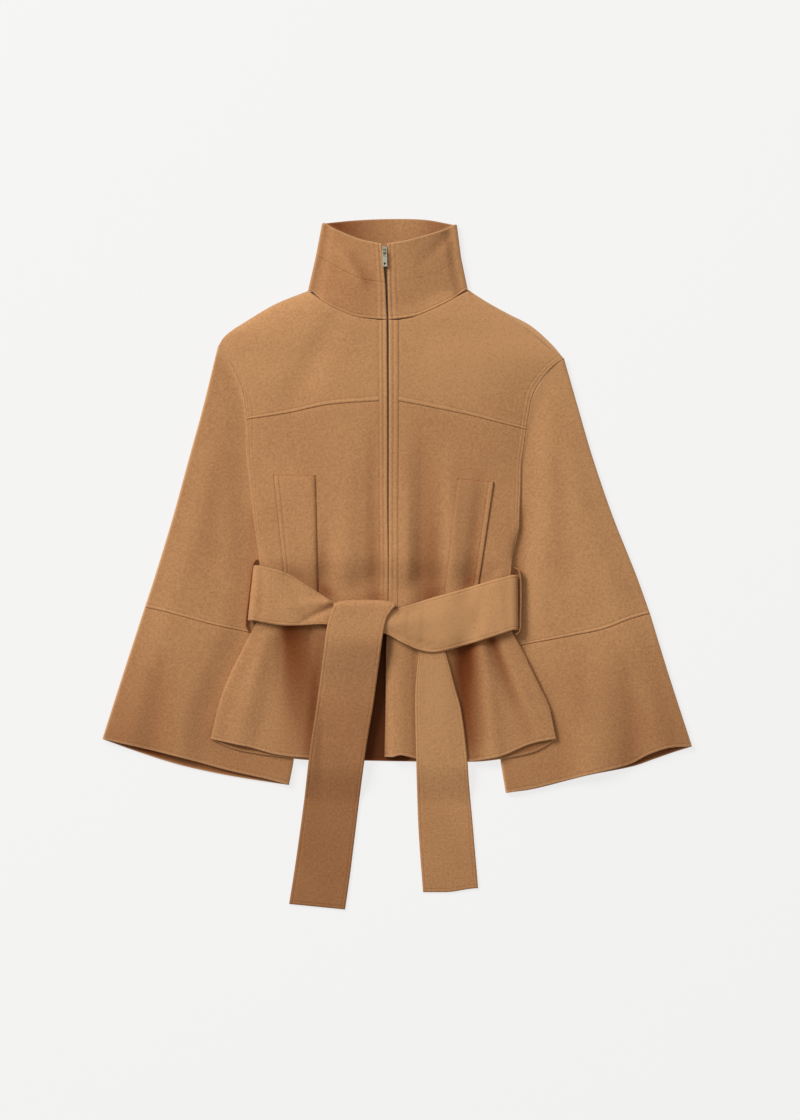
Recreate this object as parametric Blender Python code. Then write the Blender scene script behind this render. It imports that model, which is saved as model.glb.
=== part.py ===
"""Belted wool jacket, zipped and laid flat on its back with the front up.

The plan is seen from above: +x to the right, +y towards the collar, +z up from the surface
that the jacket lies on. Left and right are the sides of that plan. Sizes are in millimetres
and each mesh is brought to metres when it is made. The origin is the middle of the outline,
on the surface.
"""
import math
from collections import namedtuple

import bmesh
import bpy
from mathutils import Matrix
from mathutils import Vector

MM = 0.001

# Cloth and its layers, from the surface upwards
CLOTH = 2.0
BELT_CLOTH = 3.0
SEAM_GAP = 0.3
SLEEVE_HEIGHT = 6.4
BELT_WIDTH = 71.0
PLACKET_RISE = 0.6

# Round edges: how far in from the body's side the front closes on the back, and the collar's sides
SIDE_ROUNDING = 13.0
COLLAR_SIDE_HEIGHT = SLEEVE_HEIGHT + 1.0

# Steps along seams that two pieces share, so that their edges follow each other, and where
# the corners between those seams fall on a side edge
YOKE_STEPS = 6
CHEST_STEPS = 6
SIDE_ROWS = 15
UNDERARM = 0.34
YOKE_ON_PLACKET = 0.18

# Zip and its slider
CHAIN_WIDTH = 4.0
CHAIN_DEPTH = 2.0
TAPE_WIDTH = 10.0
TAPE_DEPTH = 0.8
SLIDER_LENGTH = 12.2
SLIDER_WIDTH = 6.0
SLIDER_PLATE = 1.3
BAIL_RADIUS = 3.2
BAIL_WIRE = 1.2
TAB_WIDTH = 6.4
TAB_DEPTH = 1.2
TAB_REACH = 19.0

# Colours of the real thing
CAMEL = (0.46, 0.25, 0.115)
TAPE_BROWN = (0.05, 0.03, 0.02)
SILVER = (0.72, 0.70, 0.60)

for leftover in list(bpy.data.objects):
    bpy.data.objects.remove(leftover, do_unlink=True)
collection = bpy.data.collections.new("belted_wool_jacket")
cutters = bpy.data.collections.new("cutters")
bpy.context.scene.collection.children.link(collection)
bpy.context.scene.collection.children.link(cutters)


# Curves in plan

def curve(points):
    """Smooth curve through the points, as a function of the fraction of its length."""
    knots = [Vector(p) for p in points]
    marks = [0.0]
    for a, b in zip(knots, knots[1:]):
        marks.append(marks[-1] + (b - a).length)
    total = marks[-1]

    def slope(i):
        low = max(i - 1, 0)
        high = min(i + 1, len(knots) - 1)
        return (knots[high] - knots[low]) / (marks[high] - marks[low])

    def at(t):
        s = min(max(t, 0.0), 1.0) * total
        i = 0
        while i < len(knots) - 2 and s > marks[i + 1]:
            i += 1
        span = marks[i + 1] - marks[i]
        f = (s - marks[i]) / span
        start = (1 + 2 * f) * (1 - f) ** 2 * knots[i] + f * (1 - f) ** 2 * span * slope(i)
        end = f * f * (3 - 2 * f) * knots[i + 1] + f * f * (f - 1) * span * slope(i + 1)
        return start + end

    return at


def joined(first, second, corner):
    """Two curves as one, with the corner between them at a fraction of the whole."""
    def at(t):
        if t <= corner:
            return first(t / corner)
        return second((t - corner) / (1 - corner))

    return at


def turned(line):
    return lambda t: line(1 - t)


def smooth(t):
    t = min(max(t, 0.0), 1.0)
    return t * t * (3 - 2 * t)


def mix(a, b, t):
    return a + (b - a) * t


def same(a, b):
    return abs(a - b) < 1e-5


def soft_max(a, b, softness=1.0):
    return 0.5 * (a + b + math.sqrt((a - b) ** 2 + softness ** 2))


def reading(rows, key, y):
    """Value of a table's column at a height y, running smoothly from row to row."""
    if y >= rows[0].y:
        return getattr(rows[0], key)
    if y <= rows[-1].y:
        return getattr(rows[-1], key)
    i = 0
    while y < rows[i + 1].y:
        i += 1
    f = (rows[i].y - y) / (rows[i].y - rows[i + 1].y)
    values = [getattr(rows[k], key) for k in (max(i - 1, 0), i, i + 1, min(i + 2, len(rows) - 1))]
    places = [rows[k].y for k in (max(i - 1, 0), i, i + 1, min(i + 2, len(rows) - 1))]
    span = places[1] - places[2]
    start = (values[2] - values[0]) / (places[0] - places[2]) * span
    end = (values[3] - values[1]) / (places[1] - places[3]) * span
    return ((1 + 2 * f) * (1 - f) ** 2 * values[1] + f * (1 - f) ** 2 * start
            + f * f * (3 - 2 * f) * values[2] + f * f * (f - 1) * end)


# Seams and edges, in plan

shoulder_left = curve([(-113, 347), (-153, 331), (-190, 309.5), (-218, 290), (-227, 276)])
shoulder_right = curve([(90, 347), (124, 326), (147, 311), (173, 292), (192, 275), (212, 261)])
back_shoulder_right = curve([(90, 349), (113, 334), (140, 319), (170, 303), (197, 279), (212, 261)])
neck_left = curve([(-113, 347), (-86, 328), (-65, 318), (-49, 312.5), (-23, 309)])
neck_right = curve([(90, 347), (56, 328), (22, 313), (2, 309)])
back_neck = curve([(-113, 347), (-66, 342), (-12, 340), (44, 342), (90, 349)])

armhole_top_left = curve([(-227, 276), (-210, 255), (-196, 222), (-190, 184)])
armhole_low_left = curve([(-190, 184), (-190, 150), (-186, 105), (-183, 69), (-178, 31)])
armhole_top_right = curve([(212, 261), (199, 252), (186, 238), (173, 216), (167, 190), (164, 171)])
armhole_low_right = curve([(164, 171), (161, 150), (158, 128), (157, 95), (155, 50)])
armhole_left = joined(armhole_top_left, armhole_low_left, 0.5)
armhole_right = joined(armhole_top_right, armhole_low_right, 0.5)

side_left = curve([(-178, 31), (-174, 2), (-172, -30), (-176, -68), (-190, -95), (-219, -156),
                   (-231, -198), (-236, -221)])
side_right = curve([(155, 50), (148.5, 18), (144, -8), (142.5, -45), (144.5, -82), (157, -105),
                    (179, -150), (193, -181), (199, -208), (202, -221)])
hem_left = curve([(-236, -221), (-208, -227), (-185, -232), (-152, -241), (-110, -245), (-57, -246)])
hem_right = curve([(-5, -244), (5, -241.5), (24, -246), (42, -249), (90, -250), (118, -246),
                   (135, -242), (149, -236), (165, -229), (181, -224.5), (202, -221)])
back_hem = curve([(-236, -221), (-207, -234), (-178, -240), (-149, -244), (-110, -248), (-43, -249),
                  (93, -250.5), (136, -246), (171, -239), (188, -231), (202, -221)])
yoke_left = curve([(-190, 184), (-137, 192), (-88, 202), (-22.5, 207)])
yoke_right = curve([(2, 207), (43, 199), (92, 189), (124, 181), (164, 171)])
yoke_back = curve([(-190, 184), (-105, 189), (-13, 190), (82, 183), (164, 171)])

placket_left_top = curve([(-23, 309), (-22.5, 207)])
placket_left_low = curve([(-22.5, 207), (-22, 82), (-22, -48), (-27, -96), (-42, -172), (-57, -246)])
placket_right_top = curve([(2, 309), (2, 207)])
placket_right_low = curve([(2, 207), (1, 82), (0.5, -48), (-4, -96), (-4.5, -172), (-5, -244)])
edge_left = curve([(-12.6, 309), (-11.9, 207), (-11.7, 82), (-11.6, -48), (-20, -96), (-33, -172),
                   (-46.5, -247)])
edge_right = curve([(-10.7, 309), (-10.5, 207), (-10.7, 82), (-11.0, -48), (-13.5, -96),
                    (-14.5, -172), (-16, -244)])
zip_line = curve([(-15.4, 402), (-15.1, 386), (-13.6, 372), (-12.3, 349), (-11.6, 309), (-11.2, 207),
                  (-11.2, 82), (-11.3, -62)])

sleeve_outer_left = curve([(-227, 276), (-246, 199), (-263, 138), (-284, 62), (-307, -14), (-320, -54)])
sleeve_outer_right = curve([(212, 261), (230, 199), (248, 138), (274, 62), (304, -14), (321, -62)])
sleeve_inner_left = curve([(-178, 31), (-177, 12), (-170, -12), (-152, -45), (-133, -80), (-127, -100)])
sleeve_inner_right = curve([(155, 50), (154.5, 30), (148, 4), (134, -35), (124, -75), (122, -109)])
cuff_seam_left = curve([(-320, -54), (-293, -60), (-234, -76), (-192, -85), (-127, -100)])
cuff_seam_right = curve([(321, -62), (296, -69), (261, -82), (222, -90), (164, -101), (122, -109)])
cuff_outer_left = curve([(-320, -54), (-347, -137), (-374, -221.5)])
cuff_outer_right = curve([(321, -62), (344, -137), (374.5, -231)])
cuff_inner_left = curve([(-127, -100), (-123, -172), (-131, -248), (-137, -280)])
cuff_inner_right = curve([(122, -109), (121, -172), (131, -247), (138, -290)])
cuff_hem_left = curve([(-374, -221.5), (-331, -231), (-273, -245), (-215, -261), (-166, -272), (-137, -280)])
cuff_back_left = curve([(-374, -221.5), (-331, -237), (-281, -253), (-234, -264), (-196, -271), (-137, -280)])
cuff_hem_right = curve([(374.5, -231), (345, -232.5), (319, -241), (296, -253), (241, -267), (173, -284),
                        (138, -290)])
cuff_back_right = curve([(374.5, -231), (352, -238), (329, -246), (300, -256), (241, -268), (173, -285),
                         (138, -290)])

# Heights of the body, one row for each level down the front: the plan's side edges, the height
# of the cloth beside them and along the middle, and how far the edges close down on the back
Level = namedtuple("Level", "y left right edge middle closing")
BODY = [
    Level(347, -113, 90, 7.0, 21.0, 0.6),
    Level(330, -155, 118, 7.4, 22.0, 1.0),
    Level(309, -190, 150, 7.6, 22.0, 1.0),
    Level(290, -218, 176, 7.6, 21.0, 0.8),
    Level(262, -214, 212, 7.4, 20.0, 0.0),
    Level(222, -196, 177, 7.4, 18.5, 0.0),
    Level(184, -190, 167, 7.6, 17.5, 0.0),
    Level(105, -186, 157, 8.2, 17.0, 0.0),
    Level(60, -182, 156, 11.0, 18.0, 0.3),
    Level(31, -178, 150, 14.0, 19.0, 1.0),
    Level(5, -174, 146, 15.5, 20.0, 1.0),
    Level(-22, -172, 143, 15.0, 14.5, 1.0),
    Level(-60, -175, 143, 15.0, 14.0, 1.0),
    Level(-95, -190, 152, 14.5, 16.0, 1.0),
    Level(-150, -216, 179, 14.0, 13.0, 1.0),
    Level(-200, -232, 198, 13.0, 10.5, 1.0),
    Level(-250, -240, 205, 12.5, 9.0, 1.0),
]

# Inner edges of the two sleeves, which lie under the body below the underarm
Hidden = namedtuple("Hidden", "y left right")
SLEEVES_BELOW = [
    Hidden(110, -186, 157), Hidden(50, -181, 155), Hidden(31, -178, 154), Hidden(12, -177, 150),
    Hidden(-12, -170, 142), Hidden(-45, -152, 130), Hidden(-80, -133, 124), Hidden(-105, -126, 122),
    Hidden(-172, -123, 121), Hidden(-248, -131, 131), Hidden(-285, -137, 138),
]

# Folds of the front: where each runs, its half width and its rise at both ends (a trough is
# below zero), and how much steeper its right flank is than its left one
Fold = namedtuple("Fold", "name start end width width_end rise rise_end steep")
FOLDS = [
    Fold("trough beside the zip", (-30, 112), (-28, -42), 9, 11, -2.5, -5.5, 1.0),
    Fold("ridge left of the zip", (-62, 100), (-64, -38), 18, 18, 1.5, 3.5, 1.0),
    Fold("trough inside the left welt", (-90, 20), (-93, -45), 11, 13, -1.5, -4.0, 1.0),
    Fold("dent across the left yoke", (-82, 300), (-125, 215), 20, 24, -2.5, -2.5, 1.0),
    Fold("ridge right of the zip", (8, 165), (8, -46), 17, 17, 2.5, 6.0, 2.2),
    Fold("trough right of that ridge", (38, 130), (36, -42), 14, 17, -2.0, -5.0, 1.0),
    Fold("ridge inside the right welt", (68, 110), (70, -38), 13, 13, 1.0, 2.5, 1.0),
    Fold("hollow of the right welt", (106, 90), (92, -30), 12, 12, -1.5, -2.5, 1.0),
    Fold("cone of the left skirt", (-166, -82), (-207, -232), 11, 24, 3.5, 4.0, 1.0),
    Fold("hollow under the left band", (-118, -84), (-112, -225), 28, 30, -4.0, -1.0, 1.0),
    Fold("roll of the right front edge", (6, -90), (5, -250), 17, 18, 4.0, 5.0, 2.4),
    Fold("hollow under the right band", (84, -112), (88, -205), 20, 26, -5.0, -1.5, 1.0),
    Fold("flute of the right skirt", (121, -100), (137, -250), 11, 14, 3.5, 4.0, 1.0),
    Fold("trough beside that flute", (140, -125), (168, -215), 9, 12, -3.5, -1.5, 1.0),
]


def fold_rise(fold, x, y):
    start = Vector(fold.start)
    run = Vector(fold.end) - start
    t = (Vector((x, y)) - start).dot(run) / run.length_squared
    inside = min(max(t, 0.0), 1.0)
    foot = start + run * inside
    past = abs(t - inside) * run.length
    side = x - foot.x
    width = mix(fold.width, fold.width_end, inside)
    if side > 0:
        width /= fold.steep
    across = (side ** 2 + past ** 2 * 0.3) / width ** 2
    return mix(fold.rise, fold.rise_end, inside) * math.exp(-1.3 * across)


def belt_middle(x):
    """Middle line of the belt's back stretch, which dips a little to the right."""
    return -36.5 - 0.035 * (x + 180)


def sleeve_lift(x, y):
    """Lift over the sleeves' hidden inner edges, falling to the surface further in."""
    margin = 9
    ramp = 42
    from_left = x - reading(SLEEVES_BELOW, "left", y) - margin
    from_right = reading(SLEEVES_BELOW, "right", y) - x - margin
    over_sleeve = 1 - smooth(min(from_left, from_right) / ramp)
    ramp_top = 98
    ramp_length = 55
    below_underarm = smooth((ramp_top - y) / ramp_length)
    return (SLEEVE_HEIGHT + SEAM_GAP) * over_sleeve * below_underarm


def back_under(x, y):
    """Underside of the back: on the surface, but over the sleeves and the belt."""
    margin = 28
    ramp = 25
    over_belt = smooth((BELT_WIDTH / 2 + margin - abs(y - belt_middle(x))) / ramp)
    return sleeve_lift(x, y) + (BELT_CLOTH + 4 * SEAM_GAP) * over_belt


def front_top(x, y):
    """Upper side of the front: a low dome with its folds, closed on the back at the sides."""
    left = reading(BODY, "left", y)
    right = reading(BODY, "right", y)
    across = min(abs(2 * x - left - right) / (right - left), 1.0)
    crown = 1 - across ** 2.4
    height = mix(reading(BODY, "edge", y), reading(BODY, "middle", y), crown)

    belt_level = -55
    from_belt = abs(y - belt_level)
    pressed = 1 - 0.7 * smooth((45 - from_belt) / 25)
    height += sum(fold_rise(fold, x, y) for fold in FOLDS) * pressed * min(1.0, 4 * (1 - across))

    from_edge = max(min(x - left, right - x), 0.0)
    clearance = 1.2 * smooth(from_edge / SIDE_ROUNDING)
    resting = back_under(x, y) + 2 * CLOTH + SEAM_GAP + clearance
    rounding = 1 - math.sqrt(1 - (1 - min(from_edge / SIDE_ROUNDING, 1.0)) ** 2)
    closed = reading(BODY, "closing", y) * rounding
    return soft_max(mix(height, resting, closed), resting, 0.4)


# Building

ARMHOLE = [i / YOKE_STEPS / 2 for i in range(YOKE_STEPS)] + [
    0.5 + i / CHEST_STEPS / 2 for i in range(CHEST_STEPS + 1)]


def cloth_material(name, colour, roughness, metallic=0.0):
    material = bpy.data.materials.new(name)
    material.use_nodes = True
    shader = material.node_tree.nodes["Principled BSDF"]
    shader.inputs["Base Color"].default_value = (*colour, 1.0)
    shader.inputs["Roughness"].default_value = roughness
    shader.inputs["Metallic"].default_value = metallic
    return material


def place(name, bm, colour=CAMEL, roughness=0.9, metallic=0.0, origin=(0, 0, 0)):
    """Bring a bmesh from millimetres to metres and put it in the collection."""
    bmesh.ops.translate(bm, vec=-Vector(origin), verts=bm.verts)
    bmesh.ops.scale(bm, vec=(MM, MM, MM), verts=bm.verts)
    mesh = bpy.data.meshes.new(name)
    bm.to_mesh(mesh)
    bm.free()
    mesh.shade_smooth()
    mesh.set_sharp_from_angle(angle=math.radians(50))
    mesh.materials.append(cloth_material(name, colour, roughness, metallic))
    piece = bpy.data.objects.new(name, mesh)
    piece.location = Vector(origin) * MM
    collection.objects.link(piece)
    return piece


def wall(name, columns, rows, outer, inner, closed=False, **finish):
    """Cloth from a grid: its outer side follows outer(u, v) and its inner side inner(u, v)."""
    bm = bmesh.new()
    bmesh.ops.create_grid(bm, x_segments=len(columns) - 1, y_segments=len(rows) - 1, size=0.5)
    u_layer = bm.verts.layers.float.new("u")
    v_layer = bm.verts.layers.float.new("v")
    for vertex in bm.verts:
        vertex[u_layer] = columns[round((vertex.co.x + 0.5) * (len(columns) - 1))]
        vertex[v_layer] = rows[round((vertex.co.y + 0.5) * (len(rows) - 1))]
        vertex.co = outer(vertex[u_layer], vertex[v_layer])
    if closed:
        bmesh.ops.remove_doubles(bm, verts=bm.verts, dist=1e-4)
    extruded = bmesh.ops.extrude_face_region(bm, geom=bm.faces[:])
    for vertex in (item for item in extruded["geom"] if isinstance(item, bmesh.types.BMVert)):
        vertex.co = inner(vertex[u_layer], vertex[v_layer])
    bmesh.ops.recalc_face_normals(bm, faces=bm.faces)
    return place(name, bm, **finish)


def even(count):
    return [i / count for i in range(count + 1)]


def crowded(count, power):
    """Fractions that lie closer together towards 0."""
    return [(i / count) ** power for i in range(count + 1)]


def split(corner, before, after):
    """Fractions in two even stretches, with the corner between them on one of them."""
    return [corner * i / before for i in range(before)] + [
        mix(corner, 1, i / after) for i in range(after + 1)]


def patch(top, bottom, left, right):
    """Plan surface between four curves that meet at its corners: v runs from top to bottom."""
    corners = {(0, 0): top(0), (1, 0): top(1), (0, 1): bottom(0), (1, 1): bottom(1)}

    def at(u, v):
        ruled = mix(top(u), bottom(u), v) + mix(left(v), right(v), u)
        flat = mix(mix(corners[0, 0], corners[1, 0], u), mix(corners[0, 1], corners[1, 1], u), v)
        return ruled - flat

    return at


def trimmed(plan, columns, rows):
    """The plan with its rim drawn in by half a seam gap."""
    def at(u, v):
        point = plan(u, v)
        step = 0.004
        along_u = (plan(min(u + step, 1), v) - plan(max(u - step, 0), v)).normalized()
        along_v = (plan(u, min(v + step, 1)) - plan(u, max(v - step, 0))).normalized()
        lean = along_u.dot(along_v)
        reach = 0.5 * SEAM_GAP / math.sqrt(max(1 - lean * lean, 0.2))
        if same(u, columns[0]) or same(u, columns[-1]):
            point = point + along_u * (reach if same(u, columns[0]) else -reach)
        if same(v, rows[0]) or same(v, rows[-1]):
            point = point + along_v * (reach if same(v, rows[0]) else -reach)
        return point

    return at


def panel(name, plan, columns, rows, top, thickness=CLOTH, **finish):
    """A flat piece of cloth whose upper side is at the height top(x, y)."""
    rim = trimmed(plan, columns, rows)

    def outer(u, v):
        x, y = rim(u, v)
        return Vector((x, y, top(x, y)))

    def inner(u, v):
        return outer(u, v) - Vector((0, 0, thickness))

    return wall(name, columns, rows, outer, inner, **finish)


def make_back():
    def top(x, y):
        return back_under(x, y) + CLOTH

    back_top = joined(joined(turned(shoulder_left), back_neck, 0.5), back_shoulder_right, 2 / 3)
    plan = patch(back_top, yoke_back, armhole_top_left, armhole_top_right)
    panel("back_yoke", plan, even(20), even(YOKE_STEPS), top)
    plan = patch(yoke_back, back_hem, joined(armhole_low_left, side_left, UNDERARM),
                 joined(armhole_low_right, side_right, UNDERARM))
    panel("back_panel", plan, even(20), split(UNDERARM, CHEST_STEPS, SIDE_ROWS), top)


def make_fronts():
    yoke_rows = even(YOKE_STEPS)
    plan = patch(turned(shoulder_left), yoke_left, armhole_top_left,
                 joined(neck_left, placket_left_top, 0.5))
    panel("front_yoke_left", plan, even(7), yoke_rows, front_top)
    plan = patch(shoulder_right, yoke_right, joined(neck_right, placket_right_top, 0.5),
                 armhole_top_right)
    panel("front_yoke_right", plan, even(7), yoke_rows, front_top)

    rows = split(UNDERARM, CHEST_STEPS, SIDE_ROWS)
    columns = [1 - u for u in reversed(crowded(12, 1.35))]
    plan = patch(yoke_left, hem_left, joined(armhole_low_left, side_left, UNDERARM), placket_left_low)
    panel("front_panel_left", plan, columns, rows, front_top)
    columns = crowded(14, 1.3)
    plan = patch(yoke_right, hem_right, placket_right_low,
                 joined(armhole_low_right, side_right, UNDERARM))
    panel("front_panel_right", plan, columns, rows, front_top)


def make_plackets():
    def strip(outside, inside):
        def plan(u, v):
            return mix(outside(v), inside(v), u)

        return plan

    def raised(x, y):
        return front_top(x, y) + PLACKET_RISE

    rows = even(26)
    outside_left = joined(placket_left_top, placket_left_low, YOKE_ON_PLACKET)
    outside_right = joined(placket_right_top, placket_right_low, YOKE_ON_PLACKET)
    panel("placket_left", strip(outside_left, edge_left), even(2), rows, raised,
          CLOTH + PLACKET_RISE)
    panel("placket_right", strip(edge_right, outside_right), even(2), rows, raised,
          CLOTH + PLACKET_RISE)


# Sleeves and cuffs: flattened tubes, flat above and below and round at both long edges

def tube(name, over, under, shares, rows, mouth_gap):
    """A flattened sleeve between two plans, one for each layer, that share their long edges."""
    turn_steps = 4
    stations = [(share, 90.0) for share in shares]
    stations += [(1.0, 90.0 - 180.0 * i / turn_steps) for i in range(1, turn_steps)]
    stations += [(share, -90.0) for share in reversed(shares)]
    stations += [(0.0, -90.0 + 180.0 * i / turn_steps) for i in range(1, turn_steps)]
    count = len(stations)
    radius = SLEEVE_HEIGHT / 2

    def point(u, v, depth):
        share, angle = stations[round(u * count) % count]
        lean = math.radians(angle)
        weight = 0.5 + 0.5 * math.sin(lean)

        def laid(s, t):
            return mix(under(s, t), over(s, t), weight)

        inset = radius / (laid(1, v) - laid(0, v)).length
        spot = laid(mix(inset, 1 - inset, share), v)
        if abs(angle) < 89:
            outward = (laid(share, v) - spot).normalized()
            spot += outward * (radius - depth) * math.cos(lean)
        step = 0.01
        along = (laid(min(share + step, 1), v) - laid(max(share - step, 0), v)).normalized()
        onward = laid(share, min(v + step, 1)) - laid(share, max(v - step, 0))
        square = Vector((along.y, -along.x))
        if square.dot(onward) < 0:
            square = -square
        if same(v, rows[0]):
            spot += square * mouth_gap
        if same(v, rows[-1]):
            spot -= square * SEAM_GAP / 2
        return Vector((spot.x, spot.y, radius + (radius - depth) * math.sin(lean)))

    columns = [i / count for i in range(count + 1)]
    wall(name, columns, rows, lambda u, v: point(u, v, 0.0), lambda u, v: point(u, v, CLOTH),
         closed=True)


def make_sleeves():
    half = SEAM_GAP / 2
    plan = patch(armhole_left, cuff_seam_left, sleeve_outer_left, sleeve_inner_left)
    tube("sleeve_left", plan, plan, ARMHOLE, even(10), 3 * half)
    plan = patch(armhole_right, cuff_seam_right, sleeve_outer_right, sleeve_inner_right)
    tube("sleeve_right", plan, plan, ARMHOLE, even(10), 3 * half)
    over = patch(cuff_seam_left, cuff_hem_left, cuff_outer_left, cuff_inner_left)
    under = patch(cuff_seam_left, cuff_back_left, cuff_outer_left, cuff_inner_left)
    tube("sleeve_cuff_left", over, under, ARMHOLE, even(5), half)
    over = patch(cuff_seam_right, cuff_hem_right, cuff_outer_right, cuff_inner_right)
    under = patch(cuff_seam_right, cuff_back_right, cuff_outer_right, cuff_inner_right)
    tube("sleeve_cuff_right", over, under, ARMHOLE, even(5), half)


# Collar: a funnel of two courses, open at the centre front, its back flat and its front arched

Course = namedtuple("Course", "share front_left front_right back side_left side_right arch edge")
COLLAR = [
    Course(0.00, neck_left, neck_right, back_neck, (-113, 347), (90, 348), 21.5, (-12.6, -10.7)),
    Course(0.48, curve([(-103, 391), (-77, 377), (-51, 363), (-23, 355.5)]),
           curve([(81.5, 389), (65, 377), (30, 363), (-3, 356)]),
           curve([(-103, 391), (-12, 389), (81.5, 389)]), (-103, 391), (81.5, 389), 24.5, (-14.6, -12.0)),
    Course(1.00, curve([(-95, 433), (-68, 420), (-49, 412), (-25, 404.5)]),
           curve([(76, 431), (65, 426), (38, 417), (12, 409), (-4, 405)]),
           curve([(-95, 433), (-59, 436.5), (-12, 438.5), (38, 437.5), (76, 431)]),
           (-95, 433), (76, 431), 27.0, (-19.0, -12.4)),
]


def collar_height(x, share):
    """Upper side of the collar's front: an arch from the sides to the centre front."""
    low, high = (COLLAR[0], COLLAR[1]) if share <= COLLAR[1].share else (COLLAR[1], COLLAR[2])
    t = (share - low.share) / (high.share - low.share)
    left = mix(low.side_left[0], high.side_left[0], t)
    right = mix(low.side_right[0], high.side_right[0], t)
    across = min(abs(2 * x - left - right) / (right - left), 1.0)
    return mix(COLLAR_SIDE_HEIGHT, mix(low.arch, high.arch, t), (1 - across ** 2.6) ** 0.7)


def collar_point(station, share, depth):
    kind, t = station
    low, high = (COLLAR[0], COLLAR[1]) if share <= COLLAR[1].share else (COLLAR[1], COLLAR[2])
    f = (share - low.share) / (high.share - low.share)

    def read(course):
        if kind == "left":
            return course.front_left(t)
        if kind == "right":
            return course.front_right(t)
        if kind == "back":
            return course.back(t)
        if kind == "left edge":
            return Vector((course.edge[0], course.front_left(1).y))
        if kind == "right edge":
            return Vector((course.edge[1], course.front_right(1).y))
        return Vector(course.side_left if kind == "left turn" else course.side_right)

    x, y = mix(read(low), read(high), f)
    radius = COLLAR_SIDE_HEIGHT / 2
    if kind in ("left turn", "right turn"):
        lean = math.radians(t)
        side = -1 if kind == "left turn" else 1
        x += side * (radius - depth) * math.cos(lean) - side * radius
        return Vector((x, y, radius + (radius - depth) * math.sin(lean)))
    if kind == "back":
        x += radius * (1 - 2 * t)
        return Vector((x, y, depth))
    sewn = smooth(share / 0.3)
    height = mix(front_top(x, y), collar_height(x, share), sewn)
    if kind in ("left", "right") and t == 0:
        if share > 0:
            height = COLLAR_SIDE_HEIGHT
        x += radius * (1 if kind == "left" else -1)
    return Vector((x, y, height - depth))


def make_collar():
    front = even(YOKE_STEPS // 2)
    turn_steps = 4
    stations = [("left edge", 0)]
    stations += [("left", t) for t in reversed(front)]
    stations += [("left turn", 90 - 180 * i / turn_steps) for i in range(1, turn_steps)]
    stations += [("back", t) for t in even(6)]
    stations += [("right turn", -90 + 180 * i / turn_steps) for i in range(1, turn_steps)]
    stations += [("right", t) for t in front]
    stations += [("right edge", 0)]
    count = len(stations) - 1
    columns = [i / count for i in range(count + 1)]
    for name, start, end, steps in (("collar_stand", 0.0, 0.48, 4), ("collar_upper", 0.48, 1.0, 4)):
        rows = [mix(start, end, t) for t in even(steps)]

        def point(u, v, depth):
            kind = stations[round(u * count)][0]
            spot = collar_point(stations[round(u * count)], v, depth)
            if same(v, rows[0]):
                spot.y += SEAM_GAP * (0.7 if "turn" not in kind and kind != "back" else 3)
            if same(v, rows[-1]) and v < 0.99:
                spot.y -= SEAM_GAP * 0.7
            return spot

        wall(name, columns, rows, lambda u, v: point(u, v, 0.0), lambda u, v: point(u, v, CLOTH))


# Welts, belt and loops

def quad(top_left, top_right, bottom_right, bottom_left):
    """Plan of a four-sided piece with straight edges."""
    corners = [Vector(p) for p in (top_left, top_right, bottom_right, bottom_left)]

    def at(u, v):
        return mix(mix(corners[0], corners[1], u), mix(corners[3], corners[2], u), v)

    return at


def make_welts():
    def lifted(x, y):
        return front_top(x, y) + 4 * SEAM_GAP + CLOTH

    panel("pocket_welt_left", quad((-157, 114), (-103, 113), (-99, -58), (-139, -50)),
          even(5), even(12), lifted)
    panel("pocket_welt_right", quad((76, 109), (123, 105), (100, -48), (57, -58)),
          even(5), even(12), lifted)


# The belt's bands, from the sides to the knot. Each row is a place along a band, by the share
# of its length from the side: how high its underside is above the front
Lift = namedtuple("Lift", "share lift")
BAND_LEFT = [Lift(0, 4.4), Lift(0.45, 4.6), Lift(0.6, 5.9), Lift(1, 6.1)]
BAND_RIGHT = [Lift(0, 4.2), Lift(0.25, 4.4), Lift(0.42, 5.8), Lift(0.6, 6.4), Lift(0.74, 10.3),
              Lift(1, 10.5)]

band_left_top = curve([(-173.5, -1), (-141, -10), (-114, -26), (-84, -45), (-70, -53), (-50, -60),
                       (-30, -68)])
band_left_bottom = curve([(-181, -71), (-146, -77), (-119, -77), (-88, -76), (-50, -86), (-30, -92)])
band_right_top = curve([(145.3, -13), (116, -21), (80, -32), (44, -42), (2, -55), (-40, -60), (-76, -62)])
band_right_bottom = curve([(146, -83), (116, -93), (80, -104), (50, -111), (31, -109), (7, -99),
                           (-13, -88), (-45, -80), (-78, -76)])


def share_lift(rows, share):
    for low, high in zip(rows, rows[1:]):
        if share <= high.share:
            return mix(low.lift, high.lift, smooth((share - low.share) / (high.share - low.share)))
    return rows[-1].lift


def band(name, top, bottom, lifts, side):
    """A belt band over the front, turned round the body's side on to the belt's back stretch."""
    turn_steps = 5
    stations = [("turn", 180 * (1 - i / turn_steps)) for i in range(turn_steps)]
    stations += [("front", t) for t in even(14)]
    count = len(stations) - 1

    def point(u, v, depth):
        kind, t = stations[round(u * count)]
        share = t if kind == "front" else 0.0
        x, y = mix(top(share), bottom(share), v)
        upper = front_top(x, y) + share_lift(lifts, share) + BELT_CLOTH
        if kind == "front":
            return Vector((x, y, upper - depth))
        lower = SLEEVE_HEIGHT + SEAM_GAP
        radius = (upper - lower) / 2
        lean = math.radians(90 - t)
        return Vector((x + side * (radius - depth) * math.cos(lean), y,
                       lower + radius + (radius - depth) * math.sin(lean)))

    wall(name, even(count), even(4), lambda u, v: point(u, v, 0.0),
         lambda u, v: point(u, v, BELT_CLOTH))


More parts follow.
